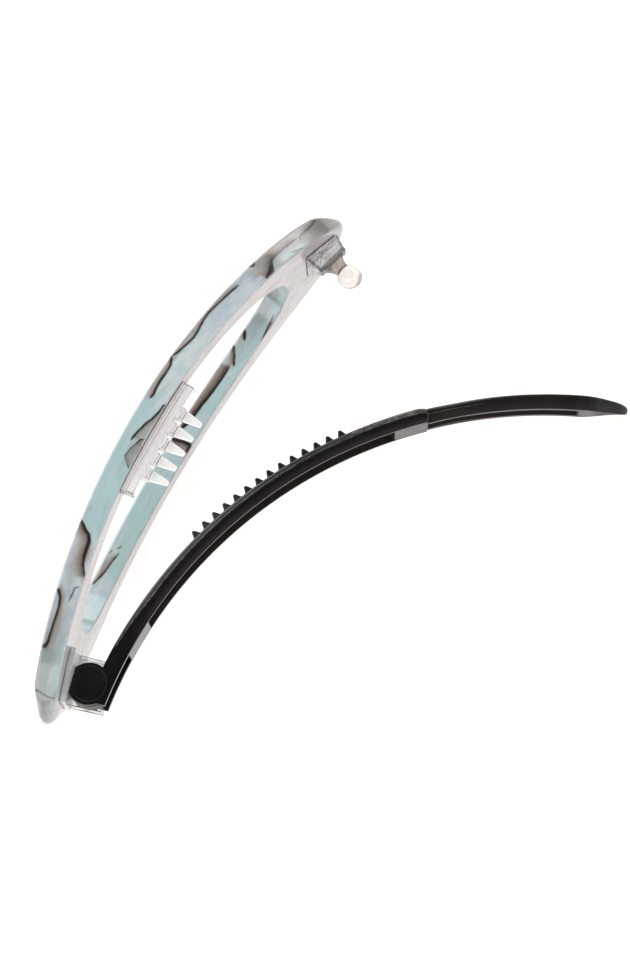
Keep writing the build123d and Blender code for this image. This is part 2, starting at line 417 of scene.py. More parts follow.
@dataclass(frozen=True)
class BlackPlastic:
    """Satin black moulded plastic with a faint grain.

    It is polished where the attribute polish is 1 and rougher where that is below 0, greyed in speckles
    where its attribute for scuffs and highlights is 1, partly scuffing and partly a painted highlight, and
    lighter and a little brown where its painted-light attribute is 1, a painted gradient of light. The
    waves are counts to a metre.
    """

    black: tuple = (0.0024, 0.002, 0.0018)
    bloom: tuple = (0.0078, 0.0066, 0.006)
    # Grey of scuffs and of a painted highlight
    wear_and_highlight_tone: tuple = (0.125, 0.115, 0.106)
    # Lighter, browner tone of the painted light, laid on as a painted gradient of light
    painted_light_tone: tuple = (0.023, 0.0165, 0.0145)
    roughness: float = 0.25
    polished: float = 0.1
    patch_waves: float = 240.0
    grain_waves: float = 5200.0
    speck_waves: float = 2300.0
    scuff_waves: float = 700.0
    scuff_stretch: tuple = (1.0, 3.0, 3.0)
    grain_depth: float = 0.000025

    def material(self, name: str) -> bpy.types.Material:
        """Makes the material.

        Args:
            name: name of the material.
        Returns:
            The material.
        """
        g = Graph(name)
        place = g.place()
        patch = g.noise(place, self.patch_waves, detail=4.0, warp=0.6)
        grain = g.noise(place, self.grain_waves, detail=2.0)
        speck = g.noise(place, self.speck_waves, warp=0.5)
        scuff = g.noise(g.scaled(place, self.scuff_stretch), self.scuff_waves, detail=4.0, warp=0.4)
        scuff = scuff.step(0.56, 0.74)
        worn, polish = g.attribute("worn"), g.attribute("polish")
        base = g.mix(self.black, self.bloom, patch.step(0.35, 0.75) * 0.7 + scuff * 0.3)
        # Painted light: lighter and browner where the painted-light attribute is 1
        base = g.mix(base, self.painted_light_tone, g.attribute("dust") * (0.6 + 0.7 * patch))
        # Speckled grey: partly scuffing and partly a painted highlight on the bead, the ridge and the strap's end
        base = g.mix(base, self.wear_and_highlight_tone, worn * speck.step(0.36, 0.62) * (0.45 + 0.9 * patch))
        rough = self.roughness + patch * 0.12 + scuff * 0.1
        rough = rough * (1.0 - polish) + polish * (self.polished + grain * 0.05)
        normal = g.bump(grain * 0.5 + patch * 0.3 + speck * worn * 0.6, self.grain_depth, 0.35)
        return g.finish(Base_Color=base, Roughness=rough, Normal=normal, IOR=BLACK_IOR, Specular_IOR_Level=0.55)


# The clip's frame and the arcs that its pieces follow


@dataclass(frozen=True)
class ClipFrame:
    """The clip's own frame, as it lies on the floor."""

    origin: Array
    axes: Array

    @classmethod
    def from_record(cls, record: dict, hinge: Pair) -> "ClipFrame":
        """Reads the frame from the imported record.

        Args:
            record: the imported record, whose joint gives Z and whose slot mount gives Y.
            hinge: the hinge's X and Y in the clip's frame.
        Returns:
            The frame.
        """
        joint = record["behaviour"]["joints"][0]
        along_z = np.array(joint["axis"])
        mount = next(m for m in record["mounts"] if m["name"] == "hair_slot")
        along_y = np.array(mount["axis"])
        along_z /= np.linalg.norm(along_z)
        along_y -= along_z * (along_y @ along_z)
        along_y /= np.linalg.norm(along_y)
        axes = np.stack([np.cross(along_y, along_z), along_y, along_z])
        return cls(np.array(joint["pos_m"]) / MM - np.array([*hinge, 0.0]) @ axes, axes)

    def place(self, points: Array) -> Array:
        """Millimetres in the clip's frame to metres in the row frame."""
        return (self.origin + points @ self.axes) * MM

    def turn(self, direction: Triple) -> Vector:
        """A direction of the clip's frame in the row frame."""
        return Vector(np.array(direction) @ self.axes).normalized()


@dataclass(frozen=True)
class Arc:
    """A bent sheet: x = cx + (r + depth) sin(turn), y = cy + (r + depth) cos(turn), turn = along / r + start."""

    centre: Pair
    radius: float
    start_degrees: float = 0.0

    def bend(self, along: Array, across: Array, depth: Array) -> Array:
        """Bends sheet coordinates into the clip's frame.

        Args:
            along: millimetres along the arc at its own radius.
            across: millimetres along Z.
            depth: millimetres away from the arc's centre.
        Returns:
            Points with a last axis of three.
        """
        turn = along / self.radius + math.radians(self.start_degrees)
        reach = self.radius + depth
        x = self.centre[0] + reach * np.sin(turn)
        y = self.centre[1] + reach * np.cos(turn)
        return stacked(x, y, across)

    def along(self, degrees: float) -> float:
        """Millimetres along the arc at an angle."""
        return math.radians(degrees) * self.radius


@dataclass(frozen=True)
class Seat:
    """A flat local frame on the bow's inner face: along the bow, across it, and in from the face."""

    point: Pair
    degrees: float

    def place(self, along: Array, across: Array, inward: Array) -> Array:
        """Local millimetres to the clip's frame: point + along * tangent - inward * normal.

        Args:
            along: millimetres along the bow.
            across: millimetres along Z.
            inward: millimetres in from the face.
        Returns:
            Points with a last axis of three.
        """
        sine, cosine = math.sin(math.radians(self.degrees)), math.cos(math.radians(self.degrees))
        x = self.point[0] + along * cosine - inward * sine
        y = self.point[1] - along * sine - inward * cosine
        return stacked(x, y, across)


# Surfaces


EDGE_ENDS = (0.08, 0.92)
SHARPEST_COSINE = 0.6
NO_LENGTH = 1e-12


def smooth(value: Array, low: float, high: float) -> Array:
    """Smooth step t * t * (3 - 2 t) of t = (value - low) / (high - low), kept from 0 to 1."""
    t = np.clip((np.asarray(value, float) - low) / (high - low), 0.0, 1.0)
    return t * t * (3.0 - 2.0 * t)


def stacked(*parts: object) -> Array:
    """Numbers or arrays side by side on a new last axis, each spread to the shape of all."""
    return np.stack(np.broadcast_arrays(*parts), -1)


def unit(vectors: Array) -> Array:
    """Vectors of length one."""
    return vectors / (np.linalg.norm(vectors, axis=1, keepdims=True) + NO_LENGTH)


def edge_shares(count: int, ease: float = 0.06) -> Array:
    """Places along a straight edge, one of them close to each end so that the rounding's shade stays near it."""
    inner = np.linspace(0.0, 1.0, count + 2)[1:-1] if count > 0 else np.empty(0)
    return np.unique(np.concatenate([[ease, 1.0 - ease], inner]))


def rounded_loop(
    low: tuple[object, object], high: tuple[object, object], radii: tuple, arc_steps: int = 4,
    edges: tuple[int, int] = (2, 2), ease: float = 0.06, stretch: object = 1.0,
) -> tuple[Array, Array, Array]:
    """A rectangle with rounded corners: corner + r * (k cos a, sin a) for each quarter turn, and straight edges.

    Args:
        low: lowest u and v, numbers or arrays of one value a row.
        high: highest u and v.
        radii: the corners' radii, from (high u, low v) round through (high u, high v).
        arc_steps: steps of each quarter turn.
        edges: points inside the v edges and inside the u edges.
        ease: share of an edge at which its end points lie.
        stretch: how much longer than high each corner is, k, one number or one a row.
    Returns:
        u and v of shape (rows, points), and the outward angle of each point.
    """
    low_u, low_v, high_u, high_v = (np.atleast_1d(np.asarray(x, float))[:, None] for x in (*low, *high))
    radii = [np.atleast_1d(np.asarray(r, float))[:, None] for r in radii]
    long = np.atleast_1d(np.asarray(stretch, float))[:, None]
    rows = max(x.shape[0] for x in (low_u, low_v, high_u, high_v, long, *radii))
    centres = (
        (high_u - radii[0] * long, low_v + radii[0]), (high_u - radii[1] * long, high_v - radii[1]),
        (low_u + radii[2] * long, high_v - radii[2]), (low_u + radii[3] * long, low_v + radii[3]),
    )
    quarter = np.linspace(0.0, math.pi / 2, arc_steps + 1)[None, :]
    parts, angles = ([], []), []
    for corner, radius in enumerate(radii):
        angle, end = quarter + (corner - 1) * math.pi / 2, corner * math.pi / 2
        following = (corner + 1) % 4
        shares = edge_shares(edges[corner % 2], ease)[None, :]
        for axis, (wide, wave) in enumerate(((long, np.cos), (1.0, np.sin))):
            arc = centres[corner][axis] + radius * wide * wave(angle)
            stop = centres[following][axis] + radii[following] * wide * wave(end)
            edge = arc[:, -1:] + (stop - arc[:, -1:]) * shares
            parts[axis].extend(np.broadcast_to(part, (rows, part.shape[1])) for part in (arc, edge))
        angles += [angle[0], np.full(shares.shape[1], end)]
    return np.concatenate(parts[0], 1), np.concatenate(parts[1], 1), np.concatenate(angles)


def corner_share(angle: Array) -> Array:
    """How far each point of a rounded loop lies in a corner: |sin 2 a| of its outward angle."""
    return np.abs(np.sin(2 * angle)) ** 0.7


@dataclass
class Skin:
    """Closed surfaces gathered into one mesh."""

    points: list = field(default_factory=list)
    faces: list = field(default_factory=list)
    flat: list = field(default_factory=list)
    fields: dict = field(default_factory=dict)
    count: int = 0

    def grid(self, points: Array, wrap: bool, fields: dict | None = None) -> None:
        """Adds rows of closed loops, joined row to row.

        Args:
            points: shape (rows, points in a row, 3).
            wrap: whether the last row joins the first, and otherwise both end rows get a flat face.
            fields: attributes with one number or vector a point.
        """
        rows, columns = points.shape[:2]
        index = np.arange(rows * columns).reshape(rows, columns)
        here = index if wrap else index[:-1]
        after = np.roll(index, -1, 0) if wrap else index[1:]
        quads = stacked(here, np.roll(here, -1, 1), np.roll(after, -1, 1), after).reshape(-1, 4)
        caps = [] if wrap else [index[0][::-1], index[-1]]
        flat = points.reshape(-1, 3)
        middle = flat.mean(0)
        a, b, c, d = (flat[quads[:, k]] - middle for k in range(4))
        volume = np.einsum("ij,ij->", np.cross(a, b), c) + np.einsum("ij,ij->", np.cross(a, c), d)
        for cap in caps:
            fan = flat[cap] - middle
            volume += np.einsum("ij,ij->", np.cross(fan[1:-1], fan[2:]), np.broadcast_to(fan[0], fan[2:].shape))
        if volume < 0:
            quads = quads[:, ::-1]
            caps = [cap[::-1] for cap in caps]
        self.points.append(flat)
        self.faces += (quads + self.count).tolist() + [(cap + self.count).tolist() for cap in caps]
        self.flat += [False] * len(quads) + [True] * len(caps)
        for key, value in (fields or {}).items():
            wide = value if value.ndim == 3 else value[..., None]
            wide = np.broadcast_to(wide, (rows, columns, wide.shape[-1])).reshape(rows * columns, -1)
            self.fields.setdefault(key, []).append((self.count, wide))
        self.count += rows * columns

    def build(self, name: str, clip: ClipFrame) -> bpy.types.Object:
        """Makes the object.

        Args:
            name: name of the piece.
            clip: frame that its points are in.
        Returns:
            The object, at the origin, with its place in its mesh.
        """
        mesh = bpy.data.meshes.new(name)
        mesh.from_pydata(clip.place(np.concatenate(self.points)).tolist(), [], self.faces)
        mesh.polygons.foreach_set("use_smooth", [not f for f in self.flat])
        for key, parts in self.fields.items():
            values = np.zeros((self.count, parts[0][1].shape[1]), np.float32)
            for first, part in parts:
                values[first:first + len(part)] = part
            kind = "FLOAT_VECTOR" if values.shape[1] == 3 else "FLOAT"
            attribute = mesh.attributes.new(key, kind, "POINT")
            attribute.data.foreach_set("vector" if kind == "FLOAT_VECTOR" else "value", values.ravel())
        mesh.update()
        made = bpy.data.objects.new(name, mesh)
        bpy.context.scene.collection.objects.link(made)
        return made


def closed(points: Array, wrap: bool = False, **fields: Array) -> Skin:
    """A skin of one closed surface.

    Args:
        points: its rows, of shape (rows, points in a row, 3).
        wrap: whether the last row joins the first.
        **fields: its attributes.
    Returns:
        The skin.
    """
    skin = Skin()
    skin.grid(points, wrap, fields)
    return skin


def anticlockwise(outline: Array) -> Array:
    """An outline, turned round where twice its area, the sum of x y' - x' y, is below 0.

    Args:
        outline: closed outline of shape (points, 2).
    Returns:
        The outline, anticlockwise.
    """
    after = np.roll(outline, -1, 0)
    area = (outline[:, 0] * after[:, 1] - after[:, 0] * outline[:, 1]).sum()
    return outline if area > 0 else outline[::-1]


def round_corners(corners: Array, radius: float | tuple, steps: int = 5) -> Array:
    """An outline with each corner cut by a curve through it: (1 - t)^2 a + 2 t (1 - t) c + t^2 b.

    Args:
        corners: closed outline of shape (corners, 2).
        radius: how far from each corner its curve starts, one number or one a corner.
        steps: steps of each curve.
    Returns:
        The rounded outline, anticlockwise, with two more points on each straight side.
    """
    corners = anticlockwise(corners)
    cut = np.broadcast_to(np.asarray(radius, float), (len(corners),))[:, None]
    behind, ahead = np.roll(corners, 1, 0) - corners, np.roll(corners, -1, 0) - corners
    start = corners + behind / np.linalg.norm(behind, axis=1, keepdims=True) * cut
    stop = corners + ahead / np.linalg.norm(ahead, axis=1, keepdims=True) * cut
    t = np.linspace(0.0, 1.0, steps + 1)[None, :, None]
    curve = (1 - t) ** 2 * start[:, None] + 2 * t * (1 - t) * corners[:, None] + t**2 * stop[:, None]
    support = stop[:, None] + (np.roll(start, -1, 0) - stop)[:, None] * np.array(EDGE_ENDS)[None, :, None]
    return np.concatenate([curve, support], 1).reshape(-1, 2)


def even_sides(corners: Array, cut: tuple, counts: tuple, steps: int = 12) -> Array:
    """Rounds four corners and spaces each straight side evenly, so that two such outlines match point by point.

    Args:
        corners: the four corners.
        cut: how far from each corner its curve starts.
        counts: spaces along each straight side.
        steps: steps of each curve.
    Returns:
        The outline.
    """
    rounded = round_corners(corners, cut, steps).reshape(4, -1, 2)
    loops = []
    for curve, following, count in zip(rounded[:, :steps + 1], np.roll(rounded, -1, 0), counts):
        span = np.linspace(0.0, 1.0, count + 1)[1:-1, None]
        loops += [curve, curve[-1] + (following[0] - curve[-1]) * span]
    return np.concatenate(loops)


def plate_rows(outline: Array, low: float, high: float, bevel: float, steps: int = 3) -> Array:
    """Rows of a plate with rounded rims: the outline moved in by b (1 - sin a), at b (1 - cos a) from each face.

    Two rows hold the straight wall between the rims, and one more on each face lies a little further in.

    Args:
        outline: closed outline of shape (points, 2), anticlockwise.
        low: place of one face.
        high: place of the other face.
        bevel: radius b of the rims.
        steps: steps of each quarter turn.
    Returns:
        Rows of shape (rows, points, 3), with the plate's thickness on the last axis.
    """
    ahead, behind = unit(np.roll(outline, -1, 0) - outline), unit(outline - np.roll(outline, 1, 0))
    tangent = unit(ahead + behind)
    normal = stacked(tangent[:, 1], -tangent[:, 0])
    stretch = 1.0 / np.clip((ahead * tangent).sum(1, keepdims=True), SHARPEST_COSINE, 1.0)
    angle = np.linspace(0.0, math.pi / 2, steps + 1)
    rise, wall, face = bevel * (1 - np.sin(angle)), np.zeros(2), [bevel * 1.6]
    inset = np.concatenate([face, rise, wall, rise[::-1], face])
    lead = bevel * (1 - np.cos(angle))
    walls = [low + bevel * 1.5, high - bevel * 1.5]
    level = np.concatenate([[low], low + lead, walls, high - lead[::-1], [high]])
    flat = outline[None] - normal[None] * stretch[None] * inset[:, None, None]
    third = np.broadcast_to(level[:, None, None], (*flat.shape[:2], 1))
    return np.concatenate([flat, third], -1)


def turned(radii: Array, heights: Array, around: int) -> Array:
    """Rows of a turned shape: (r cos a, height, r sin a) with a once round.

    Args:
        radii: radius at each height.
        heights: the heights.
        around: points in a row.
    Returns:
        Rows of shape (heights, around, 3).
    """
    angle = np.linspace(0.0, math.tau, around, endpoint=False)[None, :]
    r, h = radii[:, None], heights[:, None]
    return stacked(r * np.cos(angle), h, r * np.sin(angle))


def at_lengths(path: Array, lengths: Array, want: Array) -> Array:
    """Points of a path of shape (points, 2) at wanted lengths along it."""
    return stacked(*(np.interp(want, lengths, path[:, k]) for k in range(2)))


def arc_points(radius: float, start: float, stop: float, count: int) -> Array:
    """Points of an arc, r (cos a, sin a), with a in degrees from start to stop."""
    angle = np.radians(np.linspace(start, stop, count))
    return stacked(radius * np.cos(angle), radius * np.sin(angle))


@dataclass(frozen=True)
class Group:
    """Pieces that stand for one CAD node together, on one body."""

    clip: ClipFrame
    node: str
    body: Body
    slot: Slot

    def add(self, name: str, skin: Skin, material: bpy.types.Material) -> None:
        """Makes a piece, gives it its finish, puts it on the body that it rides on and hides the CAD node that it
        stands for.

        Args:
            name: name of the piece.
            skin: its surface.
            material: its finish.
        """
        piece = skin.build(name, self.clip)
        piece.data.materials.append(material)
        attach(piece, self.body.value)
        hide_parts(self.node)
        LOG.info("%s: %d faces on %s", name, len(piece.data.polygons), self.body.value)


# Veins


FAR_AWAY = 9.0
END_HAZE = 0.35
SHADE_REACH = 0.42


@dataclass(frozen=True)
class Vein:
    """A dark vein through points (along, depth) of a wall, with a haze on one side.

    The width is one half width, or one a point. The haze fades over reach millimetres.
    """

    points: tuple
    width: float | tuple = 0.16
    haze: float = 0.0
    reach: float = 1.4
    side: int = 1


@dataclass(frozen=True)
class Cloud:
    """A soft oval patch of brown haze on a wall."""

    middle: Pair
    size: Pair
    depth: float


@dataclass(frozen=True)
class Chart:
    """The veins, patches and tints of one wall of the bow."""

    veins: tuple
    clouds: tuple
    teal: tuple
    lilac: tuple
    grey: tuple
    dim: tuple

    def distance(self, places: Array) -> tuple[Array, Array, Array]:
        """Distance to the nearest vein less its half width, and the haze and the darker shade beside the veins.

        For each run a to b of a vein, t = (p - a).(b - a) / |b - a|^2 kept from 0 to 1 and d = |p - a - t (b - a)|.
        The haze is its strength times exp(-d / reach) on the side where the cross product has its sign, and
        the shade fades there over a part of that reach.

        Args:
            places: shape (points, 2), along and depth.
        Returns:
            The distance, the haze and the shade of each point.
        """
        nearest = np.full(len(places), FAR_AWAY)
        haze, shade = np.zeros(len(places)), np.zeros(len(places))
        for vein in self.veins:
            run = np.array(vein.points, float)
            start, step = run[:-1][None], (run[1:] - run[:-1])[None]
            off = places[:, None] - start
            share = np.clip((off * step).sum(-1) / (step**2).sum(-1), 0.0, 1.0)
            gap = np.linalg.norm(off - share[..., None] * step, axis=-1)
            order = np.arange(len(run) - 1)[None] + share
            taper = np.clip(np.minimum(order, len(run) - 1 - order) * 1.6 + 0.35, 0.0, 1.0)
            wide = np.interp(order, np.arange(len(run)), np.broadcast_to(vein.width, (len(run),)))
            reached = gap - wide * taper
            nearest = np.minimum(nearest, reached.min(1))
            if vein.haze:
                pick = gap.argmin(1)
                rows = np.arange(len(places))
                cross = (step[0, pick, 0] * off[rows, pick, 1] - step[0, pick, 1] * off[rows, pick, 0])
                cross /= np.linalg.norm(step[0, pick], axis=-1)
                beside = smooth(cross * vein.side, -0.15, 0.2)
                passed, left = share[rows, pick] + pick, len(run) - 1 - pick - share[rows, pick]
                inside = smooth(passed, 0.0, 0.7) * smooth(left, 0.0, 0.7)
                near = gap[rows, pick]
                ends = END_HAZE + (1.0 - END_HAZE) * inside
                haze = np.maximum(haze, vein.haze * np.exp(-near / vein.reach) * beside * ends)
                shade = np.maximum(shade, vein.haze * np.exp(-near / (vein.reach * SHADE_REACH)) * beside * ends)
        for cloud in self.clouds:
            off = (places - np.array(cloud.middle)) / np.array(cloud.size)
            haze = np.maximum(haze, cloud.depth * smooth(-np.linalg.norm(off, axis=1), -1.6, -0.1))
        return nearest, haze, shade


NEAR_WALL = Chart(
    veins=(
        Vein(((-52.4, 0.3), (-52.5, 1.5), (-52.3, 2.4), (-51.9, 3.3), (-51.7, 4.3)), 0.1),
        Vein(((-44.7, 4.3), (-44.4, 3.7), (-43.6, 3.45), (-41.2, 3.3), (-38.8, 3.12), (-37.5, 3.08), (-36.0, 3.3),
              (-35.0, 3.9), (-34.8, 4.3)), (0.3, 0.3, 0.22, 0.16, 0.15, 0.16, 0.2, 0.24, 0.2), 0.85, 0.8, -1),
        Vein(((-36.2, 1.55), (-34.7, 1.33), (-33.7, 1.2), (-33.4, 0.6)), 0.07),
        Vein(((-31.6, -0.1), (-30.4, 0.55), (-29.4, 1.1), (-28.0, 1.37), (-25.4, 1.43), (-24.2, 1.97), (-23.6, 2.9),
              (-22.8, 3.7), (-22.2, 4.4)), (0.1, 0.12, 0.18, 0.26, 0.32, 0.28, 0.26, 0.2, 0.14), 1.15, 1.3),
        Vein(((-10.6, 0.2), (-9.9, 1.0), (-8.9, 1.95), (-7.4, 1.75), (-5.85, 1.1), (-4.9, 0.75), (-4.7, 0.2)), 0.09,
             0.42, 3.6, -1),
        Vein(((-5.7, 2.3), (-4.3, 2.05), (-1.9, 1.4), (-0.6, 0.85), (1.0, 0.45), (2.6, 0.33), (3.1, -0.1)), 0.17,
             0.4, 3.4, -1),
        Vein(((2.6, 3.2), (3.4, 2.97), (4.7, 3.18), (6.5, 3.32), (8.6, 3.22), (9.9, 3.4), (11.0, 4.0), (11.4, 4.3)),
             0.17, 0.6, 1.0),
        Vein(((11.5, 4.2), (12.6, 3.7), (14.7, 3.26), (16.5, 2.97), (17.8, 3.1), (19.0, 3.34), (20.6, 3.66),
              (22.2, 3.8), (23.7, 3.66), (25.8, 3.5), (27.9, 3.33), (30.0, 3.14)), 0.15, 0.5, 0.9),
        Vein(((34.5, 0.0), (35.3, 0.26), (36.4, 0.65), (37.2, 1.3), (37.9, 1.97), (38.5, 2.33), (40.0, 2.4),
              (42.7, 2.5), (45.2, 2.55)), (0.3, 0.42, 0.5, 0.4, 0.16, 0.14, 0.16, 0.2, 0.16), 1.0, 1.7),
        Vein(((45.8, 1.7), (45.8, 2.26), (46.5, 2.6), (48.5, 2.85), (50.0, 3.2), (51.4, 3.8)), 0.12, 0.5, 1.2),
        Vein(((42.2, 0.9), (43.5, 0.6), (44.5, 0.33)), 0.1),
        Vein(((34.3, 4.3), (35.0, 3.9), (35.7, 4.3)), 0.24),
        Vein(((53.2, 0.5), (54.5, 1.1), (55.4, 1.7), (55.9, 2.4)), 0.04, 0.5, 0.8),
    ),
    clouds=(
        Cloud((-7.6, 0.75), (2.5, 1.15), 0.42), Cloud((-41.0, 2.5), (4.0, 0.75), 0.35),
        Cloud((-27.6, 0.85), (2.4, 0.6), 0.42), Cloud((-25.8, 2.6), (1.5, 1.0), 0.3),
        Cloud((0.2, 0.0), (2.6, 0.8), 0.35), Cloud((49.0, 1.4), (3.6, 1.3), 0.32),
        Cloud((39.5, 3.6), (4.5, 0.9), 0.45), Cloud((55.0, 2.8), (1.6, 1.2), 0.3),
    ),
    teal=(
        (-57, 0.15), (-53.2, 0.2), (-51.8, 0.6), (-47, 0.8), (-44, 0.45), (-38, 0.35), (-33, 0.3), (-27, 0.3),
        (-23, 0.95), (-9, 1.0), (-3, 0.9), (3, 0.65), (9, 0.3), (18, 0.25), (30, 0.45), (35, 0.25), (37.5, 0.8),
        (39, 1.5), (43, 1.4), (45.5, 0.8), (48, 0.35), (57, 0.05),
    ),
    lilac=(
        (-57, 0.1), (-46, 0.1), (-40, 0.75), (-33, 0.65), (-28, 0.8), (-24, 0.1), (0, 0.05), (15, 0.35), (22, 0.75),
        (30, 0.6), (33, 0.85), (36, 0.15), (57, 0.1),
    ),
    grey=(
        (-57, 0.6), (-52, 0.5), (-41, 0.5), (-37, 0.4), (-31, 0.35), (-24, 0.1), (20, 0.05), (32, 0.3),
        (36, 0.85), (47, 0.95), (57, 1.0),
    ),
    dim=(
        (-57, 0.5), (-52, 0.6), (-47, 0.76), (-41, 0.84), (-35, 0.95), (-30, 1.0), (32, 1.0), (37, 0.95), (42, 0.84),
        (46, 0.82), (51, 0.7), (57, 0.44),
    ),
)

FAR_WALL = Chart(
    veins=(
        Vein(((-27.2, 4.1), (-26.6, 3.7), (-25.4, 3.33), (-23.8, 2.9), (-21.7, 2.57), (-19.2, 2.1)), 0.1, 0.6, 1.2),
        Vein(((-18.6, 2.9), (-18.3, 2.6), (-17.8, 2.35)), 0.1),
        Vein(((-20.0, 3.75), (-19.3, 3.65)), 0.08),
        Vein(((4.7, 0.3), (5.7, 0.1), (6.45, 0.5), (6.3, 2.0), (5.9, 3.4), (5.8, 4.4)), 0.26, 1.0, 1.8),
        Vein(((8.2, 3.7), (9.7, 3.2), (11.8, 2.97), (14.5, 2.8), (16.3, 2.57), (18.4, 2.4), (20.5, 2.33), (22.4, 2.4),
              (23.5, 2.5)), (0.3, 0.3, 0.28, 0.26, 0.22, 0.2, 0.18, 0.16, 0.12), 1.15, 1.9),
        Vein(((23.8, 1.7), (24.5, 2.2), (25.5, 2.9), (26.6, 3.8), (27.0, 4.3)), 0.17, 1.0, 0.9),
        Vein(((28.8, 2.9), (29.7, 3.6), (30.5, 4.2)), 0.26, 0.9, 0.7),
        Vein(((30.2, -0.1), (31.6, 0.2), (33.2, 0.5), (35.4, 0.8)), 0.13, 0.9, 0.9, -1),
    ),
    clouds=(
        Cloud((5.5, 2.0), (1.0, 2.4), 0.9), Cloud((16.5, 3.7), (6.0, 1.0), 0.6), Cloud((-22.5, 3.4), (3.0, 0.9), 0.4),
    ),
    teal=(
        (-38, 0.55), (-30, 0.8), (-26, 0.55), (-20, 0.6), (-12, 0.95), (-2, 0.95), (3, 0.7), (8, 0.75), (15, 0.9),
        (22, 0.75), (28, 0.75), (31, 1.0), (38, 0.95),
    ),
    lilac=(
        (-38, 0.3), (-30, 0.55), (-24, 0.3), (-18, 0.1), (8, 0.45), (13, 0.4), (18, 0.1), (31, 0.35), (34, 0.9),
        (38, 0.3),
    ),
    grey=((-38, 0.25), (-30, 0.1), (3, 0.1), (18, 0.2), (27, 0.4), (38, 0.6)),
    dim=((-38, 0.9), (-32, 1.0), (20, 1.0), (28, 0.92), (36, 0.72), (38, 0.7)),
)


# The bow


@dataclass(frozen=True)
class Zones:
    """Where the marbling changes: each pair gives the values at which a smooth step is 0 and 1.

    The first five are of the section's outward direction, and the others are millimetres.
    """

    wall: Pair = (0.3, 0.75)
    under: Pair = (0.4, 0.95)
    outward: Pair = (-0.3, 0.3)
    arris_from: Pair = (0.2, 0.6)
    arris_to: Pair = (-0.995, -0.9)
    slot_end: Pair = (32.5, 35.5)
    far_by_slot: Pair = (-9.0, -2.0)
    far_by_rim: Pair = (2.0, 9.0)
    near_rail: Pair = (-3.0, -1.0)
    shown_across: Pair = (14.6, 17.4)
    shown_from: Pair = (-13.0, -10.5)
    shown_to: Pair = (-4.0, -2.0)
    low_wall: Pair = (-2.4, -0.9)
    low_to: Pair = (-48.0, -44.0)
    high_wall: Pair = (2.9, 3.7)
    high_from: Pair = (1.0, 5.0)
    high_to: Pair = (-31.0, -27.0)


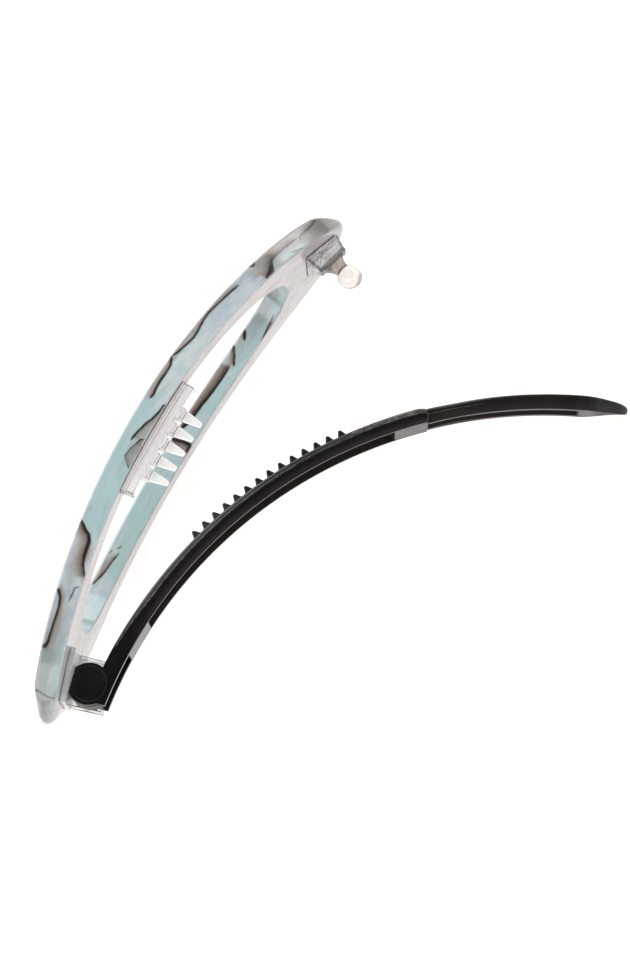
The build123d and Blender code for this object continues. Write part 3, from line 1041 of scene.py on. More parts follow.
@dataclass
class Bow:
    """The marbled bow: a slotted oval sheet, bent along an arc, with polished edges and rounded tips."""

    clip: ClipFrame
    chord: float = BOW_CHORD
    inner_radius: float = BOW_INNER_RADIUS
    thickness: float = 4.5
    half_width: float = 19.1
    tip_reach: float = 56.3
    plan_power: float = 0.54
    slot_half_length: float = 38.4
    slot_centre: float = 0.5
    slot_half_width: float = 14.8
    slot_power: float = 0.44
    rail_inner_radius: float = 0.35
    rail_crown_radius: float = 0.5
    tip_inner_radius: float = 2.0
    tip_crown_radius: float = 2.4
    tip_stretch: float = 2.0
    tip_from: Pair = (50.5, 56.2)
    slot_crown_radius: float = 0.6
    slot_inner_radius: float = 0.3
    rings: int = 1000
    zones: Zones = Zones()
    arc: Arc = field(init=False)

    def __post_init__(self) -> None:
        """Works out the arc of the inner face."""
        drop = math.sqrt(self.inner_radius**2 - (self.chord / 2) ** 2)
        self.arc = Arc((0.0, -drop), self.inner_radius)

    def seat(self, degrees: float) -> Seat:
        """A flat frame on the inner face at an angle along the bow.

        Args:
            degrees: the angle, 0 in the middle and positive to the catch.
        Returns:
            The frame.
        """
        turn = math.radians(degrees)
        point = (self.inner_radius * math.sin(turn), self.arc.centre[1] + self.inner_radius * math.cos(turn))
        return Seat(point, degrees)

    def inside(self, along: Array, across: Array) -> Array:
        """Where a place lies against the outer oval: (along / reach)^2 + (across / half width)^(1 / power) - 1."""
        share = np.sin(along / self.inner_radius) / math.sin(self.tip_reach / self.inner_radius)
        return share**2 + (np.abs(across) / self.half_width) ** (1 / self.plan_power) - 1.0

    def rims(self) -> tuple[Array, Array]:
        """Matched points of the slot's outline and of the outer oval.

        The slot's outline is x = c + a cos t, z = b sgn(sin t) |sin t|^(2 p). From each of its points a ray
        along its outward normal meets the outer oval at a distance found by halving.

        Returns:
            Both outlines, of shape (rings, 2), evenly spaced along the two together.
        """
        samples, spread, widest, halvings = 8000, 20, 60.0, 44
        turn = np.linspace(0.0, math.tau, samples + 1)
        x = self.slot_centre + self.slot_half_length * np.cos(turn)
        across = self.slot_half_width * np.sign(np.sin(turn)) * np.abs(np.sin(turn)) ** (2 * self.slot_power)
        slot = stacked(self.inner_radius * np.arcsin(x / self.inner_radius), across)[:-1]
        step = np.roll(slot, -spread, 0) - np.roll(slot, spread, 0)
        normal = stacked(step[:, 1], -step[:, 0])
        normal /= np.linalg.norm(normal, axis=1, keepdims=True)
        near, far = np.zeros(len(slot)), np.full(len(slot), widest)
        for _ in range(halvings):
            middle = (near + far) / 2
            place = slot + normal * middle[:, None]
            out = self.inside(place[:, 0], place[:, 1]) > 0
            near, far = np.where(out, near, middle), np.where(out, middle, far)
        rim = slot + normal * near[:, None]
        both = [np.concatenate([edge, edge[:1]]) for edge in (slot, rim)]
        length = sum(np.linalg.norm(np.diff(edge, axis=0), axis=1) for edge in both)
        total = np.concatenate([[0.0], np.cumsum(length)])
        want = np.linspace(0.0, total[-1], self.rings, endpoint=False)
        return tuple(at_lengths(edge, total, want) for edge in both)

    def looks(self, along: Array, across: Array, depth: Array, angle: Array, rim: Array) -> dict:
        """Attributes of the marbling.

        The near rail's outer wall and a strip of the inner face beside the comb take their veins from
        NEAR_WALL, and the slot's wall on the far rail takes them from FAR_WALL. The tints of the two charts
        are mixed, near + (far - near) * share, where the share grows from the near rail to the far one, is 1
        on the slot's end walls, and changes later on the outer wall than on the slot's.

        Args:
            along: sheet coordinate along the bow, of shape (rings, points).
            across: sheet coordinate across it.
            depth: depth from the inner face.
            angle: outward angle of each point of the section, 0 to the rim and a quarter turn to the crown.
            rim: across of the outer oval at each ring.
        Returns:
            Attributes by name.
        """
        toward_rim = np.cos(angle)[None] * np.ones_like(along)
        toward_crown = np.sin(angle)[None] * np.ones_like(along)
        at_rim = rim[:, None] * np.ones_like(along)
        zones = self.zones
        # The walls
        slot_wall = smooth(-toward_rim, *zones.wall)
        slot_end = slot_wall * smooth(np.abs(along), *zones.slot_end)
        far_share = np.maximum(smooth(-at_rim, *zones.far_by_slot), slot_end)
        near_rim = smooth(toward_rim, *zones.wall) * smooth(at_rim, *zones.near_rail)
        far_slot = slot_wall * far_share
        pick = far_slot > near_rim
        places = stacked(along.ravel(), depth.ravel())
        charts = NEAR_WALL, FAR_WALL
        near, far = ([part.reshape(along.shape) for part in chart.distance(places)] for chart in charts)
        vein, haze, shade = (np.where(pick, *both) for both in zip(far, near))
        # The inner face, with the strip beside the comb through which the wall's veins are seen
        under = smooth(-toward_crown, *zones.under)
        shown = under * smooth(across, *zones.shown_across)
        shown = shown * smooth(along, *zones.shown_from) * smooth(-along, *zones.shown_to)
        # Less smoke low on the walls, more on the upper near rail beside the crown, and painted shade on the rounded
        # arrises
        lighter = smooth(-depth, *zones.low_wall) * smooth(-along, *zones.low_to)
        crown_side = smooth(depth, *zones.high_wall) * near_rim
        crown_side = crown_side * smooth(along, *zones.high_from) * smooth(-along, *zones.high_to)
        arris = smooth(toward_crown, *zones.arris_from) * smooth(-toward_crown, *zones.arris_to)
        rim_share = smooth(-at_rim, *zones.far_by_rim)
        share = far_share + (rim_share - far_share) * smooth(toward_rim, *zones.outward)
        tints = {}
        for key in ("teal", "lilac", "grey", "dim"):
            stops = (np.array(getattr(chart, key), float) for chart in charts)
            near_tint, far_tint = (np.interp(along, stop[:, 0], stop[:, 1]) for stop in stops)
            tints[key] = near_tint + (far_tint - near_tint) * share
        return {
            "sheet": stacked(along, across, depth),
            "charted": np.maximum(np.maximum(near_rim, far_slot), shown),
            "vein": vein,
            "haze": haze,
            "shade": shade,
            "tint": tints["teal"],
            "lilac": tints["lilac"],
            "grey": tints["grey"] * (1.0 - 0.55 * lighter) + 0.62 * crown_side,
            # Painted shade: darker on the rounded arrises
            "dim": tints["dim"] * (1.0 - 0.16 * arris),
            "inner": under * (1.0 - 0.8 * shown),
        }

    def build(self) -> None:
        """Builds and dresses the bow."""
        slot, rim = self.rims()
        width = np.linalg.norm(rim - slot, axis=1)
        way = (rim - slot) / width[:, None]
        tip = smooth(np.abs(rim[:, 0]), *self.tip_from)
        radii = (
            self.rail_inner_radius + (self.tip_inner_radius - self.rail_inner_radius) * tip,
            self.rail_crown_radius + (self.tip_crown_radius - self.rail_crown_radius) * tip,
            np.full(len(tip), self.slot_crown_radius),
            np.full(len(tip), self.slot_inner_radius),
        )
        low, high = (np.zeros(len(tip)), 0.0), (width, self.thickness)
        stretch = 1.0 + (self.tip_stretch - 1.0) * tip
        out, depth, angle = rounded_loop(low, high, radii, 5, (20, 9), 0.03, stretch)
        along = slot[:, :1] + way[:, :1] * out
        across = slot[:, 1:] + way[:, 1:] * out
        looks = self.looks(along, across, depth, angle, rim[:, 1])
        skin = closed(self.arc.bend(along, across, depth), True, **looks)
        group = Group(self.clip, "bow", Body.FRAME, Slot.ACETATE)
        group.add("bow_shell", skin, MarbledAcetate().material("acetate"))


# The comb


@dataclass
class Comb:
    """The clear comb on the near rail: a glued strip with a frosted bar, and five stepped and tapered teeth."""

    clip: ClipFrame
    bow: Bow
    start_degrees: float = -4.6
    stop_degrees: float = 2.7
    gap: float = GLUE_GAP
    strip: float = 0.85
    overlap: float = 0.1
    height: float = 2.4
    width: float = 2.6
    side: float = 16.9
    teeth: int = 5
    first_degrees: float = -3.05
    pitch_degrees: float = 1.01
    tooth_length: float = 4.7
    tooth_root: float = 2.2
    tooth_tip: float = 0.85
    tooth_thickness: float = 1.2
    tooth_thinning: float = 0.17
    tooth_sunk: float = 0.6
    step_depth: float = 0.95
    step_length: float = 2.3
    step_sunk: float = 0.3
    step_inset: float = 0.02
    step_bevel: float = 0.12
    edge_radius: float = 0.2
    glued_radius: float = 0.12
    bar_trim: float = 0.03
    rows: int = 60
    flow_shift: float = 3.2

    def bar(self, shallow: float, deep: float, trim: float, radius: float) -> Skin:
        """A rounded section carried along the bow's arc, with rounded ends.

        Args:
            shallow: depth of its side towards the bow.
            deep: depth of its far side.
            trim: how much it is narrower on each side and shorter at each end than the whole.
            radius: radius of its edges.
        Returns:
            The closed surface.
        """
        turn = np.linspace(0.0, math.pi / 2, 5)
        ends, lead, face = radius * (1 - np.sin(turn)), radius * (1 - np.cos(turn)), [radius * 1.5]
        shrink = np.concatenate([face, ends, np.zeros(self.rows), ends[::-1], face])
        start, stop = (self.bow.arc.along(a) for a in (self.start_degrees, self.stop_degrees))
        start, stop = start + trim, stop - trim
        middle = np.linspace(start + radius, stop - radius, self.rows + 2)[1:-1]
        along = np.concatenate([[start], start + lead, middle, stop - lead[::-1], [stop]])[:, None]
        low = (self.side - self.width / 2 + trim + shrink, -deep + shrink)
        high = (self.side + self.width / 2 - trim - shrink, -shallow - shrink)
        across, depth, angle = rounded_loop(low, high, (radius,) * 4, 4, (2, 2), 0.1)
        at_end = np.ones(len(turn) + 1)
        ends = np.concatenate([at_end, np.zeros(self.rows), at_end])[:, None]
        # Painted dark lines of refraction along the corners and over the ends
        edge = np.maximum(corner_share(angle)[None] * 0.75, ends)
        run = stacked(along, across, depth)
        return closed(self.bow.arc.bend(along, across, depth), edge=edge, run=run)

    def step(self, degrees: float) -> Skin:
        """The raised step at a tooth's root, whose upper rim has a painted dark line of refraction on the side away
        from the slot.

        Args:
            degrees: place of the tooth along the bow.
        Returns:
            The closed surface.
        """
        half, top = self.step_length / 2, self.gap + self.height
        low, high = top - self.step_sunk, top + self.step_depth
        corners = round_corners(np.array([(-half, low), (half, low), (half, high), (-half, high)]), self.step_bevel)
        reach = self.width / 2 - self.step_inset
        rows = plate_rows(corners, self.side - reach, self.side + reach, self.step_bevel)
        along, inward, across = rows[..., 0], rows[..., 1], rows[..., 2]
        share = np.concatenate([np.zeros(7), np.full(4, 0.8), [0.0]])[:, None]
        # Painted dark line of refraction along the upper rim
        edge = share * smooth(inward, top - 0.05, top + 0.1)
        run = stacked(along + degrees * self.flow_shift, across, inward)
        return closed(self.bow.seat(degrees).place(along, across, inward), edge=edge, run=run)

    def tooth(self, degrees: float) -> Skin:
        """One tooth: half width and half thickness fall evenly along it, and a quarter oval closes its tip.

        A painted dark line of refraction runs round its root, where the step behind it shows its edge, and its
        rounded corners are painted a little darker.

        Args:
            degrees: place of the tooth along the bow.
        Returns:
            The closed surface.
        """
        closing, ring_support = 0.93, [0.0, 0.1, 0.118, 0.15, 0.175]
        inner = np.concatenate([ring_support, np.linspace(0.2, closing, 16)])
        close_turn = np.linspace(0.12, math.pi / 2 - 0.1, 7)
        share = np.concatenate([inner, closing + (1.0 - closing) * np.sin(close_turn)])
        close = np.concatenate([np.ones(len(inner)), np.cos(close_turn)])
        half = (self.tooth_root / 2 + (self.tooth_tip - self.tooth_root) / 2 * share**1.15) * close
        thick = (self.tooth_thickness / 2 - self.tooth_thinning * share) * close
        corner = np.minimum(self.edge_radius, thick * 0.6)
        u, v, angle = rounded_loop((-half, -thick), (half, thick), (corner,) * 4, 3, (2, 1), 0.1)
        root = self.gap + self.height + self.tooth_sunk
        inward = (root + (self.tooth_length - self.tooth_sunk) * share)[:, None]
        ring = smooth(share, 0.1, 0.115) * smooth(-share, -0.168, -0.14)
        # Painted dark line of refraction round the root, and a little painted shade on the corners
        edge = np.maximum(ring[:, None] * 0.95, corner_share(angle)[None] * 0.22)
        run = stacked(inward, u + degrees * self.flow_shift, v)
        return closed(self.bow.seat(degrees).place(u, self.side + v, inward), edge=edge, run=run)

    def build(self) -> None:
        """Builds and dresses the comb."""
        clear = ClearPlastic(
            tint=(0.98, 0.95, 0.94), shade=(0.90, 0.865, 0.855), edge=(0.66, 0.63, 0.62), frost=0.06, clarity=0.6,
        ).material("comb_clear")
        milky = ClearPlastic(
            tint=(1.0, 0.975, 0.965), shade=(0.93, 0.895, 0.885), edge=(0.46, 0.43, 0.42), frost=0.25,
            clarity=0.16, streak=(0.12, 2.6, 2.6),
        ).material("comb_milky")
        frosted = ClearPlastic(
            tint=(1.0, 1.0, 0.985), shade=(0.95, 0.945, 0.93), edge=(0.10, 0.092, 0.088), frost=0.42,
            clarity=0.03, streak=(0.4, 1.2, 1.2),
        ).material("comb_teeth")
        strip = self.bar(self.gap, self.gap + self.strip + self.overlap, 0.0, self.glued_radius)
        bar = self.bar(self.gap + self.strip, self.gap + self.height, self.bar_trim, self.edge_radius)
        group = Group(self.clip, "comb", Body.FRAME, Slot.CLEAR)
        group.add("comb_strip", strip, clear)
        group.add("comb_bar", bar, milky)
        for number in range(self.teeth):
            degrees = self.first_degrees + number * self.pitch_degrees
            group.add(f"comb_step_{number + 1}", self.step(degrees), milky)
            group.add(f"comb_tooth_{number + 1}", self.tooth(degrees), frosted)


# The hinge bracket


@dataclass
class HingeBracket:
    """The clear bracket: a glued foot with a hollow under the arm's discs, and two ears with the pin's holes."""

    clip: ClipFrame
    bow: Bow
    hinge: Pair
    hinge_degrees: float = HINGE_DEGREES
    hinge_depth: float = HINGE_DEPTH
    start_degrees: float = -16.35
    stop_degrees: float = -13.35
    gap: float = GLUE_GAP
    base: float = 1.0
    wide_half: float = 7.5
    narrow_half: float = 4.0
    hollow_radius: float = 4.16
    hollow_half: float = 3.07
    ear_inner: float = 1.07
    ear_thickness: float = 0.85
    tail_depth: float = 7.6
    catch_depth: float = 6.4
    hole_radius: float = 1.15
    ear_rim: float = 0.16
    hole_rim: float = 0.08
    foot_rows: int = 70
    ear_rays: int = 160

    def foot(self) -> Skin:
        """The foot: a sheet over a four-sided plan, whose underside is hollowed by a cylinder about the hinge.

        Its depth is the lesser of the full thickness and h - sqrt(r^2 - x^2), where the cylinder lies over it.

        Returns:
            The closed surface.
        """
        start, stop = (self.bow.arc.along(a) for a in (self.start_degrees, self.stop_degrees))
        middle = self.bow.arc.along(self.hinge_degrees)
        share = np.linspace(0.0, 1.0, self.foot_rows)
        limit, ledge = self.hollow_half, 0.02
        half = (self.narrow_half + (self.wide_half - self.narrow_half) * share)[:, None]
        low_side = np.array([-limit - ledge, -limit + ledge])
        inner = np.concatenate([low_side, np.linspace(-limit + 0.3, limit - 0.3, 7), -low_side[::-1]])
        outer_low = -half + (half - limit - 0.05) * np.array([0.0, 0.02, 0.2, 0.6, 1.0])[None]
        inner = np.broadcast_to(inner[None], (self.foot_rows, len(inner)))
        across = np.concatenate([outer_low, inner, -outer_low[:, ::-1]], 1)
        along = (start + (stop - start) * share)[:, None] * np.ones_like(across)
        reach = np.clip(self.hollow_radius**2 - (along - middle) ** 2, 0.0, None)
        hollow = self.hinge_depth - np.sqrt(reach)
        full = self.gap + self.base
        low = np.where(np.abs(across) < limit, np.clip(np.minimum(full, hollow), self.gap + 0.05, full), full)
        # The loop of a row: underside, wall, glued face and the other wall, each wall with two support points
        wall, pair = np.array([EDGE_ENDS]), np.ones((1, 2))
        rise = low[:, :1] - self.gap
        loop_along, loop_across = (
            np.concatenate([part, part[:, -1:] * pair, part[:, ::-1], part[:, :1] * pair], 1)
            for part in (along, across)
        )
        top = np.full_like(low, self.gap)
        loop_depth = -np.concatenate([low, low[:, -1:] - rise * wall, top, self.gap + rise * wall], 1)
        # Painted dark lines of refraction at the ends and faintly along the sides
        rim = np.maximum(smooth(-share, -0.03, -0.01), smooth(share, 0.97, 0.99))[:, None]
        side = smooth(np.abs(loop_across) / half, 0.93, 0.985)
        edge = np.maximum(rim * 0.4, side * 0.06)
        run = stacked(loop_along, loop_across, loop_depth)
        return closed(self.bow.arc.bend(loop_along, loop_across, loop_depth), edge=edge, run=run)

    def ear(self, side: int) -> Skin:
        """One ear: rays from the pin's hole to a four-sided outline with soft corners, with rounded rims.

        Args:
            side: 1 for the near ear and -1 for the far one.
        Returns:
            The closed surface.
        """
        arc, count = self.bow.arc, self.ear_rays
        root = self.gap + self.base * 0.6
        corners = (
            (self.start_degrees, root), (self.stop_degrees, root),
            (self.stop_degrees, self.catch_depth), (self.start_degrees, self.tail_depth),
        )
        points = np.array([arc.bend(np.array(arc.along(a)), np.array(0.0), np.array(-d))[:2] for a, d in corners])
        outline = round_corners(points, (0.05, 0.05, 1.0, 1.0), 8)
        loop = np.concatenate([outline, outline[:1]])
        length = np.concatenate([[0.0], np.cumsum(np.linalg.norm(np.diff(loop, axis=0), axis=1))])
        want = np.linspace(0.0, length[-1], count, endpoint=False)
        way = at_lengths(loop, length, want) - np.array(self.hinge)
        width = np.linalg.norm(way, axis=1)
        way /= width[:, None]
        low, high = sorted((side * self.ear_inner, side * (self.ear_inner + self.ear_thickness)))
        radii = (np.full(count, self.ear_rim),) * 2 + (np.full(count, self.hole_rim),) * 2
        corner = np.full(count, self.hole_radius), low
        out, level, angle = rounded_loop(corner, (width, high), radii, 3, (1, 7), 0.05)
        x = self.hinge[0] + way[:, :1] * out
        y = self.hinge[1] + way[:, 1:] * out
        # A painted dark line of refraction round the outline
        edge = smooth(out, width[:, None] - 0.3, width[:, None] - 0.08) * 0.8
        edge = edge * np.ones_like(angle)[None]
        return closed(stacked(x, y, level), True, edge=edge, run=stacked(x, level, y))

    def build(self) -> None:
        """Builds and dresses the bracket, whose foot is milkier than its ears and tinted pale blue-green, painted
        light that stands in for the lit bow seen through the clear foot.
        """
        clear = ClearPlastic(
            tint=(0.95, 0.95, 0.945), shade=(0.88, 0.875, 0.865), edge=(0.2, 0.19, 0.185), streak=(0.5, 1.5, 0.5),
        ).material("bracket_clear")
        # The foot's milky pale blue-green is painted light, standing in for the lit bow seen through it
        milky = ClearPlastic(
            tint=(0.76, 0.80, 0.795), shade=(0.66, 0.72, 0.715), edge=(0.34, 0.36, 0.355), frost=0.05, clarity=0.4,
            streak=(0.5, 1.5, 0.5),
        ).material("bracket_milky")
        group = Group(self.clip, "hinge_bracket", Body.FRAME, Slot.CLEAR)
        group.add("hinge_foot", self.foot(), milky)
        group.add("hinge_ear_near", self.ear(1), clear)
        group.add("hinge_ear_far", self.ear(-1), clear)


# The catch


@dataclass
class Catch:
    """The clear catch: a wedge-shaped foot with grooves, a flared neck and a ball with a flat."""

    clip: ClipFrame
    bow: Bow
    degrees: float = 15.45
    gap: float = GLUE_GAP
    start: float = -4.8
    stop: float = 3.6
    near: Pair = (6.2, 4.0)
    far: Pair = (3.4, 2.6)
    block_half_length: float = 3.4
    block_half_width: float = 1.25
    block_depth: float = 2.8
    ball_depth: float = 7.0
    ball_radius: float = 2.37
    neck_radius: float = 1.2
    neck_root: float = 3.1
    neck_half: float = 1.15
    neck_ease: float = 2.4
    slope_stop: float = 0.72
    grooves: tuple = (0.34, 0.70, 0.83, 0.93)
    groove_width: float = 0.016
    groove_depth: float = 0.14
    flat_axis: Triple = (0.47, 0.80, 0.26)
    flat_level: float = 0.9
    seam_width: float = 0.16
    seam_height: float = 0.01

    def stand(self, along: Array, across: Array, inward: Array) -> Array:
        """Local millimetres of the catch to the clip's frame."""
        return self.bow.seat(self.degrees).place(along, across, inward)

    def foot(self) -> Skin:
        """The foot: four-sided sections that shrink from the glued face to the block, then run straight down it.

        Two grooves cross the slope and two more cross the block, each exp(-(t / w)^2) times its depth, and
        the end towards the middle of the bow is broken into small planes.

        Returns:
            The closed surface.
        """
        low = [
            (self.start, -self.far[0]), (self.stop, -self.far[1]),
            (self.stop, self.near[1]), (self.start, self.near[0]),
        ]
        half, side = self.block_half_length, self.block_half_width
        high = [(-half, -side), (half, -side), (half, side), (-half, side)]
        base, top = round_corners(np.array(low), 0.35, 4), round_corners(np.array(high), 0.3, 4)
        share = np.linspace(0.0, 1.0, 56)
        shrink = np.concatenate([[0.4, 0.1], np.zeros(50), [0.04, 0.12, 0.26, 0.5]]) * 0.6
        slope = np.clip(share / self.slope_stop, 0.0, 1.0)[:, None, None]
        rows = base[None] + (top - base)[None] * slope**0.92
        middle = rows.mean(1, keepdims=True)
        gap = np.linalg.norm(rows - middle, axis=2, keepdims=True)
        off = (share[:, None] - np.array(self.grooves)[None]) / self.groove_width
        groove = np.exp(-(off**2)).max(1)
        cut = (shrink + groove * self.groove_depth)[:, None, None]
        rows = middle + (rows - middle) * (1 - cut / gap)
        along, across = rows[..., 0], rows[..., 1]
        drop = self.gap + self.start**2 / (2 * self.bow.inner_radius)
        inward = (drop + (self.block_depth - drop) * share)[:, None]
        ends = np.maximum(smooth(-share, -0.05, -0.01), smooth(share, 0.95, 0.985))
        corner = np.zeros(rows.shape[1])
        corner.reshape(4, -1)[:, :5] = 0.7
        # Painted dark lines of refraction in the grooves, at both ends and down the corners
        edge = np.maximum(np.maximum(groove * 0.8, ends * 0.9)[:, None], corner[None])
        # Painted dark flecks on the small planes, most at the end towards the middle of the bow
        facet = 0.3 + 0.7 * smooth(-along, 0.6, 2.6) * smooth(across, -1.0, 0.4)
        run = stacked(along, across, inward)
        return closed(self.stand(along, across, inward), edge=edge, facet=facet, run=run)

    def neck(self) -> Skin:
        """The neck: a plate whose half width eases from the root to the ball, w = n + (r - n)(1 - t)^2.4.

        Returns:
            The closed surface.
        """
        t = np.linspace(0.0, 1.0, 16)
        wide = self.neck_radius + (self.neck_root - self.neck_radius) * (1 - t) ** self.neck_ease
        start, stop = self.block_depth - 0.6, self.ball_depth - self.ball_radius * 0.6
        depth = start + (stop - start) * t
        outline = np.concatenate([stacked(wide, depth), stacked(-wide, depth)[::-1]])
        rows = plate_rows(outline, -self.neck_half, self.neck_half, 0.28, 4)
        # Painted dark lines of refraction towards the flared sides of the neck
        edge = smooth(np.abs(rows[..., 0]), 1.35, 2.6) * 0.55
        return closed(self.stand(rows[..., 0], rows[..., 2], rows[..., 1]), edge=edge, run=rows)

    def ball(self) -> Skin:
        """The ball: a turned circle with a fine mould seam across Z and a flat cut across one side.

        Each point is r (cos a sin b, cos b, sin a sin b), and beyond the flat it is moved back almost onto it.
        The seam is painted darker, a painted shade for the ball's outline, and the flat and its rim are
        painted grey, a painted shade crescent on the ball's side.

        Returns:
            The closed surface.
        """
        polar = np.linspace(0.03, math.pi - 0.03, 72)
        rows = turned(self.ball_radius * np.sin(polar), self.ball_radius * np.cos(polar), 120)
        seam = np.exp(-((rows[..., 2] / self.seam_width) ** 2))
        rows = rows * (1.0 + self.seam_height * seam)[..., None]
        axis = np.array(self.flat_axis)
        axis /= np.linalg.norm(axis)
        past = rows @ axis - self.ball_radius * self.flat_level
        over = np.clip(past, 0.0, None)
        rim = np.exp(-((past / 0.12) ** 2)) * 0.5
        rows = rows - axis * (over * 0.92)[..., None]
        # Painted shade: a dark line on the seam for the outline, and a grey flat with a darker rim as a shade
        # crescent
        edge = np.maximum(np.maximum(rim, smooth(over, 0.0, 0.1) * 0.3), seam * 0.55)
        return closed(self.stand(rows[..., 0], rows[..., 2], self.ball_depth + rows[..., 1]), edge=edge, run=rows)

    def build(self) -> None:
        """Builds and dresses the catch."""
        clear = ClearPlastic(
            tint=(0.93, 0.93, 0.935), shade=(0.66, 0.655, 0.66), edge=(0.04, 0.038, 0.038), frost=0.03,
            clarity=0.6, streak=(0.1, 3.2, 3.2), facet_waves=1.9,
        ).material("catch_clear")
        smoky = ClearPlastic(
            tint=(0.52, 0.46, 0.41), shade=(0.30, 0.255, 0.225), edge=(0.10, 0.085, 0.08), frost=0.12,
            clarity=0.8, streak=(1.2, 0.5, 1.2),
        ).material("catch_neck")
        pale = ClearPlastic(
            tint=(0.90, 0.87, 0.85), shade=(0.85, 0.82, 0.80), edge=(0.30, 0.29, 0.285), frost=0.06,
            clarity=0.85, streak=(0.3, 0.3, 0.3),
        ).material("catch_ball")
        group = Group(self.clip, "catch", Body.FRAME, Slot.CLEAR)
        group.add("catch_foot", self.foot(), clear)
        group.add("catch_neck", self.neck(), smoky)
        group.add("catch_ball", self.ball(), pale)


# The arm


